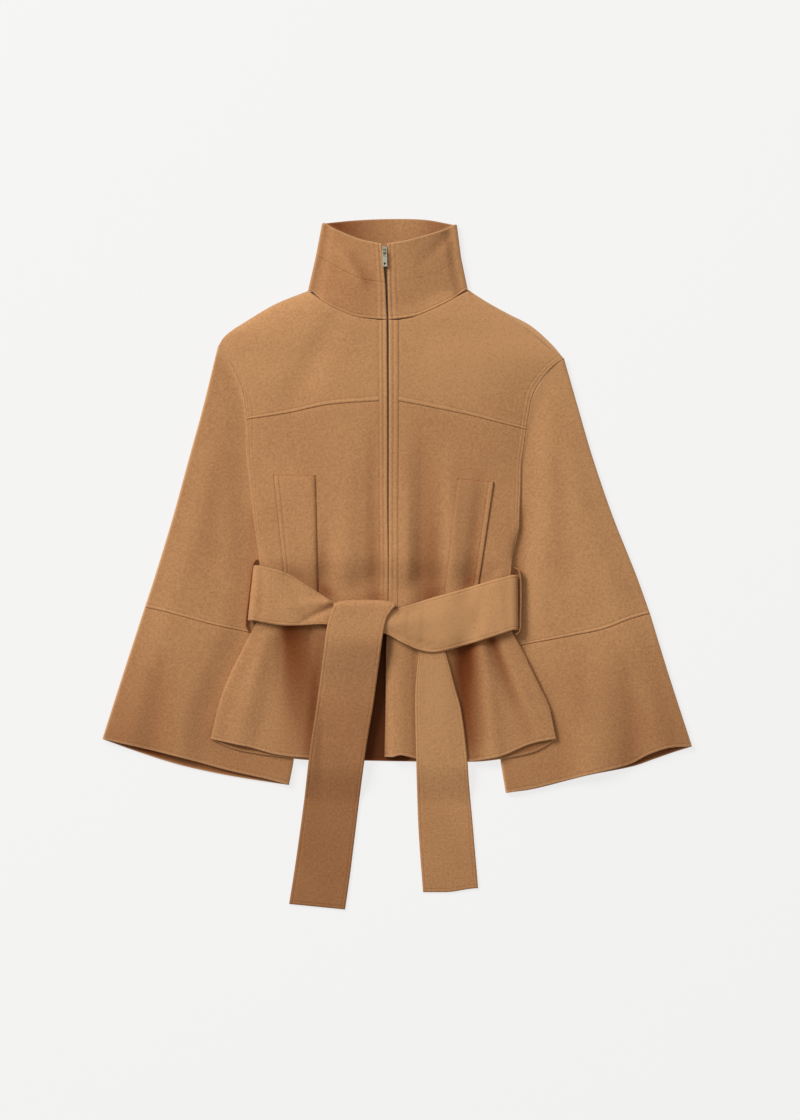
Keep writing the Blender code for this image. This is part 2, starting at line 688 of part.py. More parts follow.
def make_belt_back():
    """The stretch behind the back, over the hidden inner edges of the sleeves."""
    def top(x, y):
        lift = sleeve_lift(x, y)
        clearance = 0.2 * lift / SLEEVE_HEIGHT
        return lift + clearance + BELT_CLOTH

    plan = quad((-173.1, -1), (144.9, -12.6), (145.6, -83.4), (-180.6, -71.5))
    panel("belt_back", plan, even(24), even(3), top, BELT_CLOTH)


# The two ends of the belt. Each row is a level down the end: its left and right edges, and how
# high its underside lies above the front, or above the surface below the hem
End = namedtuple("End", "y left right lift")
END_LEFT = [
    End(-49, -81, 0, 14.6), End(-64, -86, -11, 14.8), End(-80, -89, -16, 14.8),
    End(-98, -91, -19, 14.2), End(-121, -94, -22, 9.0), End(-150, -98, -26, 2.6),
    End(-179, -102, -30, 1.4), End(-233, -110, -39, 1.4), End(-300, -118, -48, 0.0),
    End(-380, -129, -58, 0.0), End(-431, -137, -66, 0.0),
]
END_RIGHT = [
    End(-74, 18, 52, 0.9), End(-95, 24, 58, 1.1), End(-109, 27, 61, 1.3), End(-126, 26, 66, 1.3),
    End(-153, 23.5, 73, 1.4), End(-182, 23, 81, 1.4), End(-233, 24, 88, 1.4), End(-273, 25, 91, 0.6),
    End(-340, 27.5, 97, 0.0), End(-416, 33, 103, 0.0),
]
TUCKED_LENGTH = 26.0
TUCKED_LIFT = 1.7

# Where the ends leave the hem, and where they reach the surface
HEM_Y = -252
FLOOR_Y = -304


def under_end(x, y, lift):
    """Underside of a belt end: over the front, then down past the hem to the surface."""
    if y >= HEM_Y:
        return front_top(x, y) + lift
    return (front_top(x, HEM_Y) + lift) * smooth((y - FLOOR_Y) / (HEM_Y - FLOOR_Y)) ** 0.8


def end_plan(rows, u, y):
    return mix(reading(rows, "left", y), reading(rows, "right", y), u)


def make_end_left():
    """The end that comes out behind the knot, folds over its top and hangs in front."""
    first = END_LEFT[0]
    turn_steps = 6
    stations = [("tucked", first.y - TUCKED_LENGTH * share) for share in (1, 0.5)]
    stations += [("turn", -90 + 180 * i / turn_steps) for i in range(turn_steps + 1)]
    levels = [first.y - 10, -74, -87, -100, -112, -124, -137, -150, -165, -182, -200, -218, -236, -250,
              -262, -275, -289, -304, -335, -370, -405, END_LEFT[-1].y]
    stations += [("front", y) for y in levels]
    count = len(stations) - 1

    def point(u, v, depth):
        kind, place_along = stations[round(v * count)]
        if kind == "front":
            y = place_along
            x = end_plan(END_LEFT, u, y)
            slant = -7 * u * smooth((-360 - y) / 70)
            lift = reading(END_LEFT, "lift", y)
            return Vector((x, y + slant, under_end(x, y, lift) + BELT_CLOTH - depth))
        x = end_plan(END_LEFT, u, first.y)
        base = front_top(x, first.y) + TUCKED_LIFT
        radius = (first.lift + BELT_CLOTH - TUCKED_LIFT) / 2
        if kind == "tucked":
            return Vector((x, place_along, front_top(x, place_along) + TUCKED_LIFT + depth))
        lean = math.radians(place_along)
        return Vector((x, first.y + (radius - depth) * math.cos(lean),
                       base + radius + (radius - depth) * math.sin(lean)))

    wall("belt_end_left", even(4), even(count), lambda u, v: point(u, v, 0.0),
         lambda u, v: point(u, v, BELT_CLOTH))


def make_end_right():
    """The end that comes out under the right band."""
    levels = [-74, -84, -95, -106, -118, -130, -145, -160, -178, -197, -216, -235, -250, -262, -275, -289,
              -304, -340, -378, END_RIGHT[-1].y]
    count = len(levels) - 1

    def outer(u, v):
        y = levels[round(v * count)]
        x = end_plan(END_RIGHT, u, y)
        slant = 5 * smooth((u - 0.4) / 0.6) * smooth((-350 - y) / 60)
        lift = reading(END_RIGHT, "lift", y)
        return Vector((x, y + slant, under_end(x, y, lift) + BELT_CLOTH))

    wall("belt_end_right", even(4), even(count), outer,
         lambda u, v: outer(u, v) - Vector((0, 0, BELT_CLOTH)))


LOOP_RIGHT = [(149.3, -3), (154, -6), (156.7, -14), (157.5, -40), (157, -72), (156.8, -80),
              (154, -87), (150, -89)]
LOOP_LEFT = [(-188.5, -85), (-192, -78), (-190.5, -58), (-187.5, -35), (-184.5, -10), (-181.5, 3),
             (-177.5, 7)]


def make_loop(name, points, low, width):
    """A belt loop: a narrow strip of cloth round the belt's edge, its faces upright."""
    line = curve(points)

    def point(u, v, depth):
        x, y = line(u)
        tangent = (line(min(u + 0.01, 1)) - line(max(u - 0.01, 0))).normalized()
        side = Vector((tangent.y, -tangent.x)) * depth
        return Vector((x + side.x, y + side.y, low + width * v))

    wall(name, even(12), even(1), lambda u, v: point(u, v, 0.0), lambda u, v: point(u, v, CLOTH))


# Zip

def front_face(x, y):
    """Upper side of the fronts along the zip, up through the collar."""
    first, seam, last = (course.front_left(1).y for course in COLLAR)
    if y <= first:
        return front_top(x, y)
    if y <= seam:
        share = COLLAR[1].share * (y - first) / (seam - first)
    else:
        share = mix(COLLAR[1].share, 1, min((y - seam) / (last - seam), 1))
    return mix(front_top(x, y), collar_height(x, share), smooth(share / 0.3))


def along_zip(low, high):
    """Plan strip beside the zip's middle line, between two distances from it."""
    def plan(u, v):
        return zip_line(v) + Vector((mix(low, high, u), 0))

    return plan


def tape_top(x, y):
    return front_face(x, y) - CLOTH - 3 * SEAM_GAP


def make_tapes():
    rows = even(24)
    half = CHAIN_WIDTH / 2
    panel("zip_tape_left", along_zip(-half - TAPE_WIDTH, -half), even(2), rows, tape_top, TAPE_DEPTH,
          colour=TAPE_BROWN)
    panel("zip_tape_right", along_zip(half, half + TAPE_WIDTH), even(2), rows, tape_top, TAPE_DEPTH,
          colour=TAPE_BROWN)
    panel("zip_chain", along_zip(-half, half), even(2), rows[1:], tape_top, CHAIN_DEPTH,
          colour=TAPE_BROWN, roughness=0.5)


SLIDER_AT = Vector((-15.4, 395.2))
PLATE_TOP = front_face(*SLIDER_AT) + 2 * SEAM_GAP + SLIDER_PLATE
JOINT_AT = Vector((SLIDER_AT.x, SLIDER_AT.y - 0.6, PLATE_TOP + TAB_DEPTH / 2 + SEAM_GAP))
POST_WIDTH = 2.4
POST_LENGTH = 7.0
BAIL_LEAD = math.radians(20)


def block(name, size, centre, rounding):
    """A box with rounded edges, for the slider's plates and post."""
    bm = bmesh.new()
    bmesh.ops.create_cube(bm, size=1.0)
    bmesh.ops.scale(bm, vec=size, verts=bm.verts)
    bmesh.ops.translate(bm, vec=centre, verts=bm.verts)
    upright = [e for e in bm.edges if abs(e.verts[0].co.z - e.verts[1].co.z) > 0.5 * size[2]]
    bmesh.ops.bevel(bm, geom=upright, offset=rounding, segments=3, profile=0.5, affect="EDGES")
    return place(name, bm, colour=SILVER, roughness=0.3, metallic=1.0)


def make_bail():
    """The strap over the slider that holds the tab's bar: a strip spun about the joint's axis."""
    bm = bmesh.new()
    bmesh.ops.create_grid(bm, x_segments=1, y_segments=1, size=0.5)
    bmesh.ops.scale(bm, vec=(POST_WIDTH, BAIL_WIRE, 1), verts=bm.verts)
    bmesh.ops.translate(bm, vec=(0, BAIL_RADIUS, 0), verts=bm.verts)
    bmesh.ops.rotate(bm, cent=(0, 0, 0), matrix=Matrix.Rotation(-BAIL_LEAD, 3, "X"), verts=bm.verts)
    bmesh.ops.spin(bm, geom=bm.verts[:] + bm.edges[:] + bm.faces[:], cent=(0, 0, 0),
                   axis=(1, 0, 0), angle=math.pi + 2 * BAIL_LEAD, steps=14)
    bmesh.ops.recalc_face_normals(bm, faces=bm.faces)
    bmesh.ops.translate(bm, vec=JOINT_AT, verts=bm.verts)
    return place("slider_bail", bm)


def make_slider():
    """Two plates, above and below the tapes, joined by a post, with the bail on top."""
    x, y = SLIDER_AT
    low_face = tape_top(x, y) - TAPE_DEPTH - SEAM_GAP
    plate = block("zip_slider", (SLIDER_WIDTH, SLIDER_LENGTH, SLIDER_PLATE),
                  (x, y, PLATE_TOP - SLIDER_PLATE / 2), 2.0)
    lower = block("slider_lower_plate", (SLIDER_WIDTH, SLIDER_LENGTH - 1, SLIDER_PLATE),
                  (x, y, low_face - SLIDER_PLATE / 2), 1.8)
    top_of_post = PLATE_TOP - SLIDER_PLATE / 2
    bottom_of_post = low_face - SLIDER_PLATE / 2
    post = block("slider_post", (POST_WIDTH, POST_LENGTH, top_of_post - bottom_of_post),
                 (x, y + 1.0, (top_of_post + bottom_of_post) / 2), 0.8)
    for other in (lower, post, make_bail()):
        union = plate.modifiers.new(other.name, "BOOLEAN")
        union.operation = "UNION"
        union.object = other
        other.hide_render = True
        other.display_type = "WIRE"
        collection.objects.unlink(other)
        cutters.objects.link(other)


def arc(centre, radius, start, end, steps):
    return [(centre[0] + radius * math.cos(math.radians(mix(start, end, i / steps))),
             centre[1] + radius * math.sin(math.radians(mix(start, end, i / steps))))
            for i in range(steps + 1)]


def make_pull_tab():
    """The tab lies on the slider, pointing down, and swings up about its bar in the bail."""
    half = TAB_WIDTH / 2
    bar = 0.6
    corner = 1.2
    waist_y = -9.0
    waist = 0.8 * half
    eye_half = 1.7
    eye_end = -6.0
    eye_corner = 0.5
    outline = (arc((half - corner, bar - corner), corner, 0, 90, 4)
               + arc((corner - half, bar - corner), corner, 90, 180, 4)
               + [(-waist, waist_y)]
               + arc((0, half - TAB_REACH), half, 180, 360, 12) + [(waist, waist_y)])
    eye = (arc((eye_half - eye_corner, -bar - eye_corner), eye_corner, 90, 0, 2)
           + arc((0, eye_end + eye_half), eye_half, 0, -180, 8)
           + arc((eye_corner - eye_half, -bar - eye_corner), eye_corner, 180, 90, 2))
    hole = arc((0, 3.6 - TAB_REACH), 1.4, 0, 330, 11)
    data = bpy.data.curves.new("zip_pull_tab", "CURVE")
    data.dimensions = "2D"
    data.fill_mode = "BOTH"
    data.extrude = TAB_DEPTH / 2 * MM
    for points in (outline, eye, hole):
        spline = data.splines.new("POLY")
        spline.points.add(len(points) - 1)
        for spot, (x, y) in zip(spline.points, points):
            spot.co = (x * MM, y * MM, 0, 1)
        spline.use_cyclic_u = True
    data.materials.append(cloth_material("zip_pull_tab", SILVER, 0.3, 1.0))
    tab = bpy.data.objects.new("zip_pull_tab", data)
    tab.location = JOINT_AT * MM
    collection.objects.link(tab)


make_back()
make_fronts()
make_plackets()
make_sleeves()
make_collar()
make_welts()
band("belt_band_left", band_left_top, band_left_bottom, BAND_LEFT, -1)
band("belt_band_right", band_right_top, band_right_bottom, BAND_RIGHT, 1)
make_belt_back()
make_end_left()
make_end_right()
make_loop("belt_loop_right", LOOP_RIGHT, low=9.0, width=8.0)
make_loop("belt_loop_left", LOOP_LEFT, low=7.0, width=4.0)
make_tapes()
make_slider()
make_pull_tab()
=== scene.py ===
"""Belted wool jacket, zipped and laid flat on its back: the cloth, the zip and the studio.

The plan is seen from above: +x to the right, +y towards the collar, +z up from the floor. Left
and right are the sides of that plan. Each section works in millimetres.
"""

import math
from collections import namedtuple
from functools import lru_cache

import bmesh
import bpy
from mathutils import Matrix
from mathutils import Vector


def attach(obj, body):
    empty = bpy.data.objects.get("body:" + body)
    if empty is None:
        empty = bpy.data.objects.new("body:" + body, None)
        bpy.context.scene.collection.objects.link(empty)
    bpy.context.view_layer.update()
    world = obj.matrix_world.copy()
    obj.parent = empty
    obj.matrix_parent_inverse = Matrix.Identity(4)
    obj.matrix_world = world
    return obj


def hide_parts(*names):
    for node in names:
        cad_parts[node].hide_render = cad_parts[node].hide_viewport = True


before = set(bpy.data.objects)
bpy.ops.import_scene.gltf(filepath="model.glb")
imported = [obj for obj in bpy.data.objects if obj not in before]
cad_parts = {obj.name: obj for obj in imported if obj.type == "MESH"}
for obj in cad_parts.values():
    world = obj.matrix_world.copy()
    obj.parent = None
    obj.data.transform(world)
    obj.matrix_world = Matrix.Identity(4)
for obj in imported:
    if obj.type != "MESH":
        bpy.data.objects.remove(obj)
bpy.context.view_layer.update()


# Wool
# Every piece of cloth is camel double-faced wool, milled until its weave disappears under a
# short nap. Its colour also carries painted light and shade: highlights where an edge stands up
# or a rim turns, shade down in seams, folds and hollows, and lighter or darker tone over pieces.

# Two nap colours for the random grain, between which the painted shade and highlights also run, a colour for
# painted highlights and one for painted deep shade
NAP_LIGHT_AND_PAINTED_HIGHLIGHT = (0.562, 0.297, 0.131, 1)
NAP_DARK_AND_PAINTED_SHADE = (0.176, 0.038, 0.004, 1)
PAINTED_HIGHLIGHT_COLOUR = (0.700, 0.420, 0.215, 1)
PAINTED_DEEP_SHADE_COLOUR = (0.040, 0.015, 0.005, 1)


class Socket:
    """An output in a material's nodes, so that shader maths reads as ordinary sums."""

    def __init__(self, finish, output):
        self.finish = finish
        self.output = output

    def sum_with(self, operation, first, second):
        return self.finish.node("ShaderNodeMath", {"operation": operation}, {0: first, 1: second})

    def __add__(self, other):
        return self.sum_with("ADD", self, other)

    def __sub__(self, other):
        return self.sum_with("SUBTRACT", self, other)

    def __rsub__(self, other):
        return self.sum_with("SUBTRACT", other, self)

    def __mul__(self, other):
        return self.sum_with("MULTIPLY", self, other)

    __radd__ = __add__
    __rmul__ = __mul__


class Finish:
    """A material and the nodes that make it."""

    def __init__(self, name, **constants):
        self.material = bpy.data.materials.new(name)
        self.material.use_nodes = True
        self.tree = self.material.node_tree
        self.shader = self.tree.nodes["Principled BSDF"]
        for socket, value in constants.items():
            self.shader.inputs[socket.replace("_", " ")].default_value = value

    def node(self, kind, settings=None, sockets=None, output=0):
        made = self.tree.nodes.new(kind)
        for key, value in (settings or {}).items():
            if key == "stops":
                for stop, (position, colour) in zip(made.color_ramp.elements, value):
                    stop.position = position
                    stop.color = colour
            else:
                setattr(made, key, value)
        for key, value in (sockets or {}).items():
            self.feed(made.inputs[key], value)
        return Socket(self, made.outputs[output])

    def feed(self, socket, value):
        if isinstance(value, Socket):
            self.tree.links.new(value.output, socket)
        else:
            socket.default_value = value

    def noise(self, scale, detail=2.0, roughness=0.5):
        place = self.node("ShaderNodeTexCoord", output="Object")
        return self.node("ShaderNodeTexNoise", sockets={
            "Vector": place, "Scale": scale, "Detail": detail, "Roughness": roughness})

    def blend(self, share, first, second):
        return self.node("ShaderNodeMix", {"data_type": "RGBA"}, {0: share, 6: first, 7: second}, 2)

    def bump(self, height, strength, distance):
        normal = self.node("ShaderNodeBump", sockets={
            "Height": height, "Strength": strength, "Distance": distance})
        self.feed(self.shader.inputs["Normal"], normal)


def wool_finish(name):
    wool = Finish(name, Roughness=0.92, Specular_IOR_Level=0.25, Sheen_Weight=0.22,
                  Sheen_Roughness=0.45, Sheen_Tint=(1.0, 0.86, 0.70, 1))
    fibre = wool.noise(1100, 3.0, 0.65)
    nap = wool.noise(330, 3.0, 0.6)
    cloud = wool.noise(16, 2.0, 0.5)
    # relief and pale carry each piece's painted shade and highlights; the grain is the nap's own random tone
    relief = wool.node("ShaderNodeAttribute", {"attribute_name": "relief"}, output="Fac")
    pale = wool.node("ShaderNodeAttribute", {"attribute_name": "pale"}, output="Fac")
    grain = (fibre - 0.5) * 0.50 + (nap - 0.5) * 0.72 + (cloud - 0.5) * 0.22
    lightness = 0.75 + relief * 0.20 + grain * (1 + relief * 0.22)
    # pale above zero paints a highlight, below zero it paints deep shade
    body = wool.blend(pale * 0.6, wool.blend(lightness, NAP_DARK_AND_PAINTED_SHADE, NAP_LIGHT_AND_PAINTED_HIGHLIGHT), PAINTED_HIGHLIGHT_COLOUR)
    wool.feed(wool.shader.inputs["Base Color"], wool.blend(pale * -1, body, PAINTED_DEEP_SHADE_COLOUR))
    wool.bump(fibre * 0.5 + nap * 0.8, 0.42, 0.0012)
    return wool.material


# Back
# A yoke over one long panel, with a seam to each sleeve and side. It lies on the floor, lifted
# where the sleeves' inner edges and the belt pass beneath it.

MM = 0.001
CLOTH = 2.0
BELT_CLOTH = 3.0
SEAM_GAP = 0.3
SLEEVE_HEIGHT = 6.4
BELT_WIDTH = 71.0
UNDERARM = 0.34
BELT_LEVEL = -60

# An edge's profile: how far in, the cloth's rise there, which also paints shade in its dips and a highlight
# on its ridges, and pale, a painted highlight (below zero, painted deep shade)
Edge = namedtuple("Edge", "inward rise pale", defaults=[0.0])
STRAIGHT = [Edge(0.0, 0.0)]
PLAIN = [Edge(0.05, -0.35), Edge(0.6, -0.15), Edge(1.6, -0.05), Edge(3.0, 0.0)]
TUCKED = [Edge(0.05, -0.8), Edge(0.7, -0.5), Edge(1.6, -0.25), Edge(3.0, -0.05), Edge(5.0, 0.0)]
FLUSH = [Edge(0.0, -0.35), Edge(0.7, -0.2), Edge(1.6, -0.05), Edge(3.0, 0.0)]
LAPPED = [Edge(0.05, -0.3), Edge(0.4, 0.05, 0.1), Edge(0.9, 0.35, 0.25), Edge(1.7, 0.5, 0.2),
          Edge(2.7, 0.4, 0.05), Edge(3.3, 0.05), Edge(3.8, -0.2), Edge(4.3, 0.0), Edge(5.2, 0.15),
          Edge(7.0, 0.08), Edge(10.0, 0.0)]
DOUBLE = [Edge(0.05, -0.25), Edge(0.5, 0.05, 0.05), Edge(1.2, 0.35, 0.15), Edge(2.2, 0.3, 0.05),
          Edge(3.0, -0.15), Edge(3.8, 0.15), Edge(4.9, 0.3, 0.05), Edge(6.0, 0.12), Edge(6.8, -0.15),
          Edge(7.6, 0.03), Edge(9.0, 0.1), Edge(12.0, 0.0)]
HEM = [Edge(0.0, -1.0, 0.8), Edge(0.3, -0.3, 0.9), Edge(0.9, 0.1, 0.7), Edge(1.8, 0.2, 0.25),
       Edge(3.0, 0.1), Edge(3.7, -0.2), Edge(4.4, 0.0), Edge(6.0, 0.08), Edge(9.0, 0.0)]
SHOULDER = [Edge(0.05, -0.3, 1.2), Edge(0.8, 0.0, 1.1), Edge(2.5, 0.0, 1.0), Edge(6.0, 0.0, 0.8),
            Edge(10.0, 0.0)]

Station = namedtuple("Station", "share rise pale", defaults=[0.0, 0.0])


def stations(length, pitch, start, end, corner=None):
    """Places across a piece: those of its edges' profiles, and between them one each pitch."""
    near = [Station(row.inward / length, row.rise, row.pale) for row in start]
    far = [Station(1 - row.inward / length, row.rise, row.pale) for row in reversed(end)]
    room = far[0].share - near[-1].share
    count = max(1, round(room * length / pitch))
    shares = [near[-1].share + room * i / count for i in range(1, count)]
    if corner is not None:
        shares[min(range(len(shares)), key=lambda i: abs(shares[i] - corner))] = corner
    return near + [Station(share) for share in shares] + far


def curve(points):
    """Smooth curve through the points, as a function of the fraction of its length."""
    knots = [Vector(p) for p in points]
    marks = [0.0]
    for a, b in zip(knots, knots[1:]):
        marks.append(marks[-1] + (b - a).length)
    total = marks[-1]

    def slope(i):
        low = max(i - 1, 0)
        high = min(i + 1, len(knots) - 1)
        return (knots[high] - knots[low]) / (marks[high] - marks[low])

    def at(t):
        s = min(max(t, 0.0), 1.0) * total
        i = 0
        while i < len(knots) - 2 and s > marks[i + 1]:
            i += 1
        span = marks[i + 1] - marks[i]
        f = (s - marks[i]) / span
        start = (1 + 2 * f) * (1 - f) ** 2 * knots[i] + f * (1 - f) ** 2 * span * slope(i)
        end = f * f * (3 - 2 * f) * knots[i + 1] + f * f * (f - 1) * span * slope(i + 1)
        return start + end

    return lru_cache(maxsize=None)(at)


def joined(first, second, corner):
    """Two curves as one, with the corner between them at a fraction of the whole."""
    def at(t):
        if t <= corner:
            return first(t / corner)
        return second((t - corner) / (1 - corner))

    return at


def turned(line):
    return lambda t: line(1 - t)


def smooth(t):
    t = min(max(t, 0.0), 1.0)
    return t * t * (3 - 2 * t)


def mix(a, b, t):
    return a + (b - a) * t


def reading(rows, key, y):
    """Value of a table's column at a height y, running smoothly from row to row."""
    if y >= rows[0].y:
        return getattr(rows[0], key)
    if y <= rows[-1].y:
        return getattr(rows[-1], key)
    i = 0
    while y < rows[i + 1].y:
        i += 1
    f = (rows[i].y - y) / (rows[i].y - rows[i + 1].y)
    four = [rows[k] for k in (max(i - 1, 0), i, i + 1, min(i + 2, len(rows) - 1))]
    values = [getattr(row, key) for row in four]
    span = four[1].y - four[2].y
    start = (values[2] - values[0]) / (four[0].y - four[2].y) * span
    end = (values[3] - values[1]) / (four[1].y - four[3].y) * span
    return ((1 + 2 * f) * (1 - f) ** 2 * values[1] + f * (1 - f) ** 2 * start
            + f * f * (3 - 2 * f) * values[2] + f * f * (f - 1) * end)


def patch(top, bottom, left, right):
    """Plan surface between four curves that meet at its corners: v runs from top to bottom."""
    corners = {(0, 0): top(0), (1, 0): top(1), (0, 1): bottom(0), (1, 1): bottom(1)}

    def at(u, v):
        ruled = mix(top(u), bottom(u), v) + mix(left(v), right(v), u)
        flat = mix(mix(corners[0, 0], corners[1, 0], u), mix(corners[0, 1], corners[1, 1], u), v)
        return ruled - flat

    return at


# How much painted shade a trough gets and painted highlight a ridge, and from what depth a fold's painted
# shade runs to its darkest
TROUGH_PAINTED_SHADE = 0.30
RIDGE_PAINTED_HIGHLIGHT = 0.06
DEEP_FROM = 10.0
DEEPEST = 25.0
CLOTH_CORNER = math.radians(75)


def painted_fold_tone(fold):
    """Painted shade and highlight by how far the cloth stands out of a fold: dark in a trough, lighter on a
    ridge.
    """
    return fold * (TROUGH_PAINTED_SHADE if fold < 0 else RIDGE_PAINTED_HIGHLIGHT)


def painted_deep_shade(fold):
    """Share of the painted deep shade, for places far down in a fold."""
    return min(max((-fold - DEEP_FROM) / (DEEPEST - DEEP_FROM), 0.0), 1.0)


def sew(node, columns, rows, point, closed=False, depth=None, sewn=None, inner=0.0,
        light=None):
    """A wall of cloth on a grid, whose two sides point(column, row, inside) gives.

    depth(x, y) is how far the cloth stands out of a fold, which sets its painted shade and highlight,
    light(x, y) its painted light, sewn(u, v) how much of the columns' relief is left there, and inner
    the painted shade of its inner side.
    """
    bm = bmesh.new()
    bmesh.ops.create_grid(bm, x_segments=len(columns) - 1, y_segments=len(rows) - 1, size=0.5)
    across = bm.verts.layers.int.new("across")
    down = bm.verts.layers.int.new("down")
    relief = bm.verts.layers.float.new("relief")
    pale = bm.verts.layers.float.new("pale")
    for vertex in bm.verts:
        vertex[across] = round((vertex.co.x + 0.5) * (len(columns) - 1))
        vertex[down] = round((vertex.co.y + 0.5) * (len(rows) - 1))
        column = columns[vertex[across]]
        row = rows[vertex[down]]
        vertex.co = point(column, row, False)
        # The relief and pale attributes take the painted shade and light of the folds, edges and places
        fold = depth(vertex.co.x, vertex.co.y) if depth else 0.0
        vertex[pale] = column.pale + row.pale - painted_deep_shade(fold)
        kept = sewn(column.share, row.share) if sewn else 1.0
        painted_light_here = light(vertex.co.x, vertex.co.y) if light else 0.0
        vertex[relief] = column.rise * kept + row.rise + painted_fold_tone(fold) + painted_light_here
    if closed:
        bmesh.ops.remove_doubles(bm, verts=bm.verts, dist=1e-4)
    extruded = bmesh.ops.extrude_face_region(bm, geom=bm.faces[:])
    for vertex in (item for item in extruded["geom"] if isinstance(item, bmesh.types.BMVert)):
        vertex.co = point(columns[vertex[across]], rows[vertex[down]], True)
        fold = depth(vertex.co.x, vertex.co.y) if depth else 0.0
        vertex[relief] = painted_fold_tone(fold) + inner
    bmesh.ops.recalc_face_normals(bm, faces=bm.faces)
    bmesh.ops.scale(bm, vec=(MM, MM, MM), verts=bm.verts)
    mesh = bpy.data.meshes.new(node + "_cloth")
    bm.to_mesh(mesh)
    bm.free()
    mesh.shade_smooth()
    mesh.set_sharp_from_angle(angle=CLOTH_CORNER)
    mesh.materials.append(wool_finish(node + "_wool"))
    piece = bpy.data.objects.new(node + "_cloth", mesh)
    bpy.context.scene.collection.objects.link(piece)
    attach(piece, "jacket")
    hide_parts(node)


DEEPEST_SEAM = 1.4


def panel(node, plan, columns, rows, top, sewn=None, depth=None):
    """A flat piece of cloth whose upper side is at the height top(x, y), with its edges' relief."""
    def point(column, row, inside):
        x, y = plan(column.share, row.share)
        height = top(x, y)
        if inside:
            return Vector((x, y, height - CLOTH))
        rise = column.rise * (sewn(column.share, row.share) if sewn else 1.0) + row.rise
        return Vector((x, y, height + max(rise, -DEEPEST_SEAM)))

    sew(node, columns, rows, point, depth=depth, sewn=sewn)


shoulder_left = curve([(-113, 347), (-153, 331), (-190, 309.5), (-218, 290), (-227, 276)])
back_shoulder_right = curve([(90, 349), (113, 334), (140, 319), (170, 303), (197, 279), (212, 261)])
back_neck = curve([(-113, 347), (-66, 342), (-12, 340), (44, 342), (90, 349)])
armhole_top_left = curve([(-227, 276), (-210, 255), (-196, 222), (-190, 184)])
armhole_low_left = curve([(-190, 184), (-190, 150), (-186, 105), (-183, 69), (-178, 31)])
armhole_top_right = curve([(212, 261), (199, 252), (186, 238), (173, 216), (167, 190), (164, 171)])
armhole_low_right = curve([(164, 171), (161, 150), (158, 128), (157, 95), (155, 50)])
side_left = curve([(-178, 31), (-174, 2), (-172, -30), (-176, -68), (-190, -95), (-219, -156),
                   (-231, -198), (-236, -221)])
side_right = curve([(155, 50), (148.5, 18), (144, -8), (142.5, -45), (144.5, -82), (157, -105),
                    (179, -150), (193, -181), (199, -208), (202, -221)])
back_hem = curve([(-236, -221), (-207, -234), (-178, -240), (-149, -244), (-110, -248), (-43, -249),
                  (93, -250.5), (136, -246), (171, -239), (188, -231), (202, -221)])

# Inner edges of the two sleeves, which lie under the body below the underarm
Hidden = namedtuple("Hidden", "y left right")
SLEEVES_BELOW = [
    Hidden(110, -186, 157), Hidden(50, -181, 155), Hidden(31, -178, 154), Hidden(12, -177, 150),
    Hidden(-12, -170, 142), Hidden(-45, -152, 130), Hidden(-80, -133, 124), Hidden(-105, -126, 122),
    Hidden(-172, -123, 121), Hidden(-248, -131, 131), Hidden(-285, -137, 138),
]


BELT_BACK_LEFT = (-180, -36.5)
BELT_BACK_DIP = 0.035
BELT_RAMP = 25
RAMP_FOOT = 28


def belt_middle(x):
    """Middle line of the belt's back stretch, which dips a little to the right."""
    return BELT_BACK_LEFT[1] - BELT_BACK_DIP * (x - BELT_BACK_LEFT[0])


def sleeve_lift(x, y):
    """Lift over the sleeves' hidden inner edges, falling to the floor further in."""
    margin = 9
    ramp = 42
    from_left = x - reading(SLEEVES_BELOW, "left", y) - margin
    from_right = reading(SLEEVES_BELOW, "right", y) - x - margin
    over_sleeve = 1 - smooth(min(from_left, from_right) / ramp)
    return (SLEEVE_HEIGHT + SEAM_GAP) * over_sleeve * smooth((98 - y) / 55)


def back_under(x, y):
    """Underside of the back: on the floor, but over the sleeves and the belt."""
    over_belt = smooth((BELT_WIDTH / 2 + RAMP_FOOT - abs(y - belt_middle(x))) / BELT_RAMP)
    return sleeve_lift(x, y) + (BELT_CLOTH + 4 * SEAM_GAP) * over_belt


def back_upper(x, y):
    return back_under(x, y) + CLOTH


OPEN_FRONT = (-80, 22)
SHADE_BEHIND_FRONT = -18.5
SHADE_BY_HEM = -6


def back_shade(x, y):
    """Painted shade on the back seen from inside: dark behind the open front edges and up from the hem."""
    behind_gap = smooth((x - OPEN_FRONT[0]) / 15) * smooth((OPEN_FRONT[1] - x) / 15)
    behind_gap *= smooth((BELT_LEVEL - y) / 30)
    return SHADE_BEHIND_FRONT * behind_gap + SHADE_BY_HEM * smooth((-205 - y) / 15) * (1 - behind_gap)


yoke_back = curve([(-190, 184), (-105, 189), (-13, 190), (82, 183), (164, 171)])
back_top = joined(joined(turned(shoulder_left), back_neck, 0.5), back_shoulder_right, 2 / 3)
panel("back_yoke", patch(back_top, yoke_back, armhole_top_left, armhole_top_right),
      stations(400, 5.0, PLAIN, PLAIN), stations(150, 5.0, SHOULDER, PLAIN), back_upper)
panel("back_panel",
      patch(yoke_back, back_hem, joined(armhole_low_left, side_left, UNDERARM),
            joined(armhole_low_right, side_right, UNDERARM)),
      stations(400, 5.0, PLAIN, PLAIN), stations(430, 5.0, PLAIN, HEM, UNDERARM), back_upper,
      depth=back_shade)


# Fronts
# On each side a yoke is lapped over the panel below it and topstitched, and both are felled to
# the sleeve with a double ridge. They lie over the back as a low dome, and the belt gathers them.

SIDE_ROUNDING = 13.0
SIDE_CLEARANCE = 1.2
CROWN_POWER = 2.4
# Painted light over the shoulders, with more on the right
PAINTED_SHOULDER_LIGHT = 12
PAINTED_RIGHT_SHOULDER_LIGHT = 7

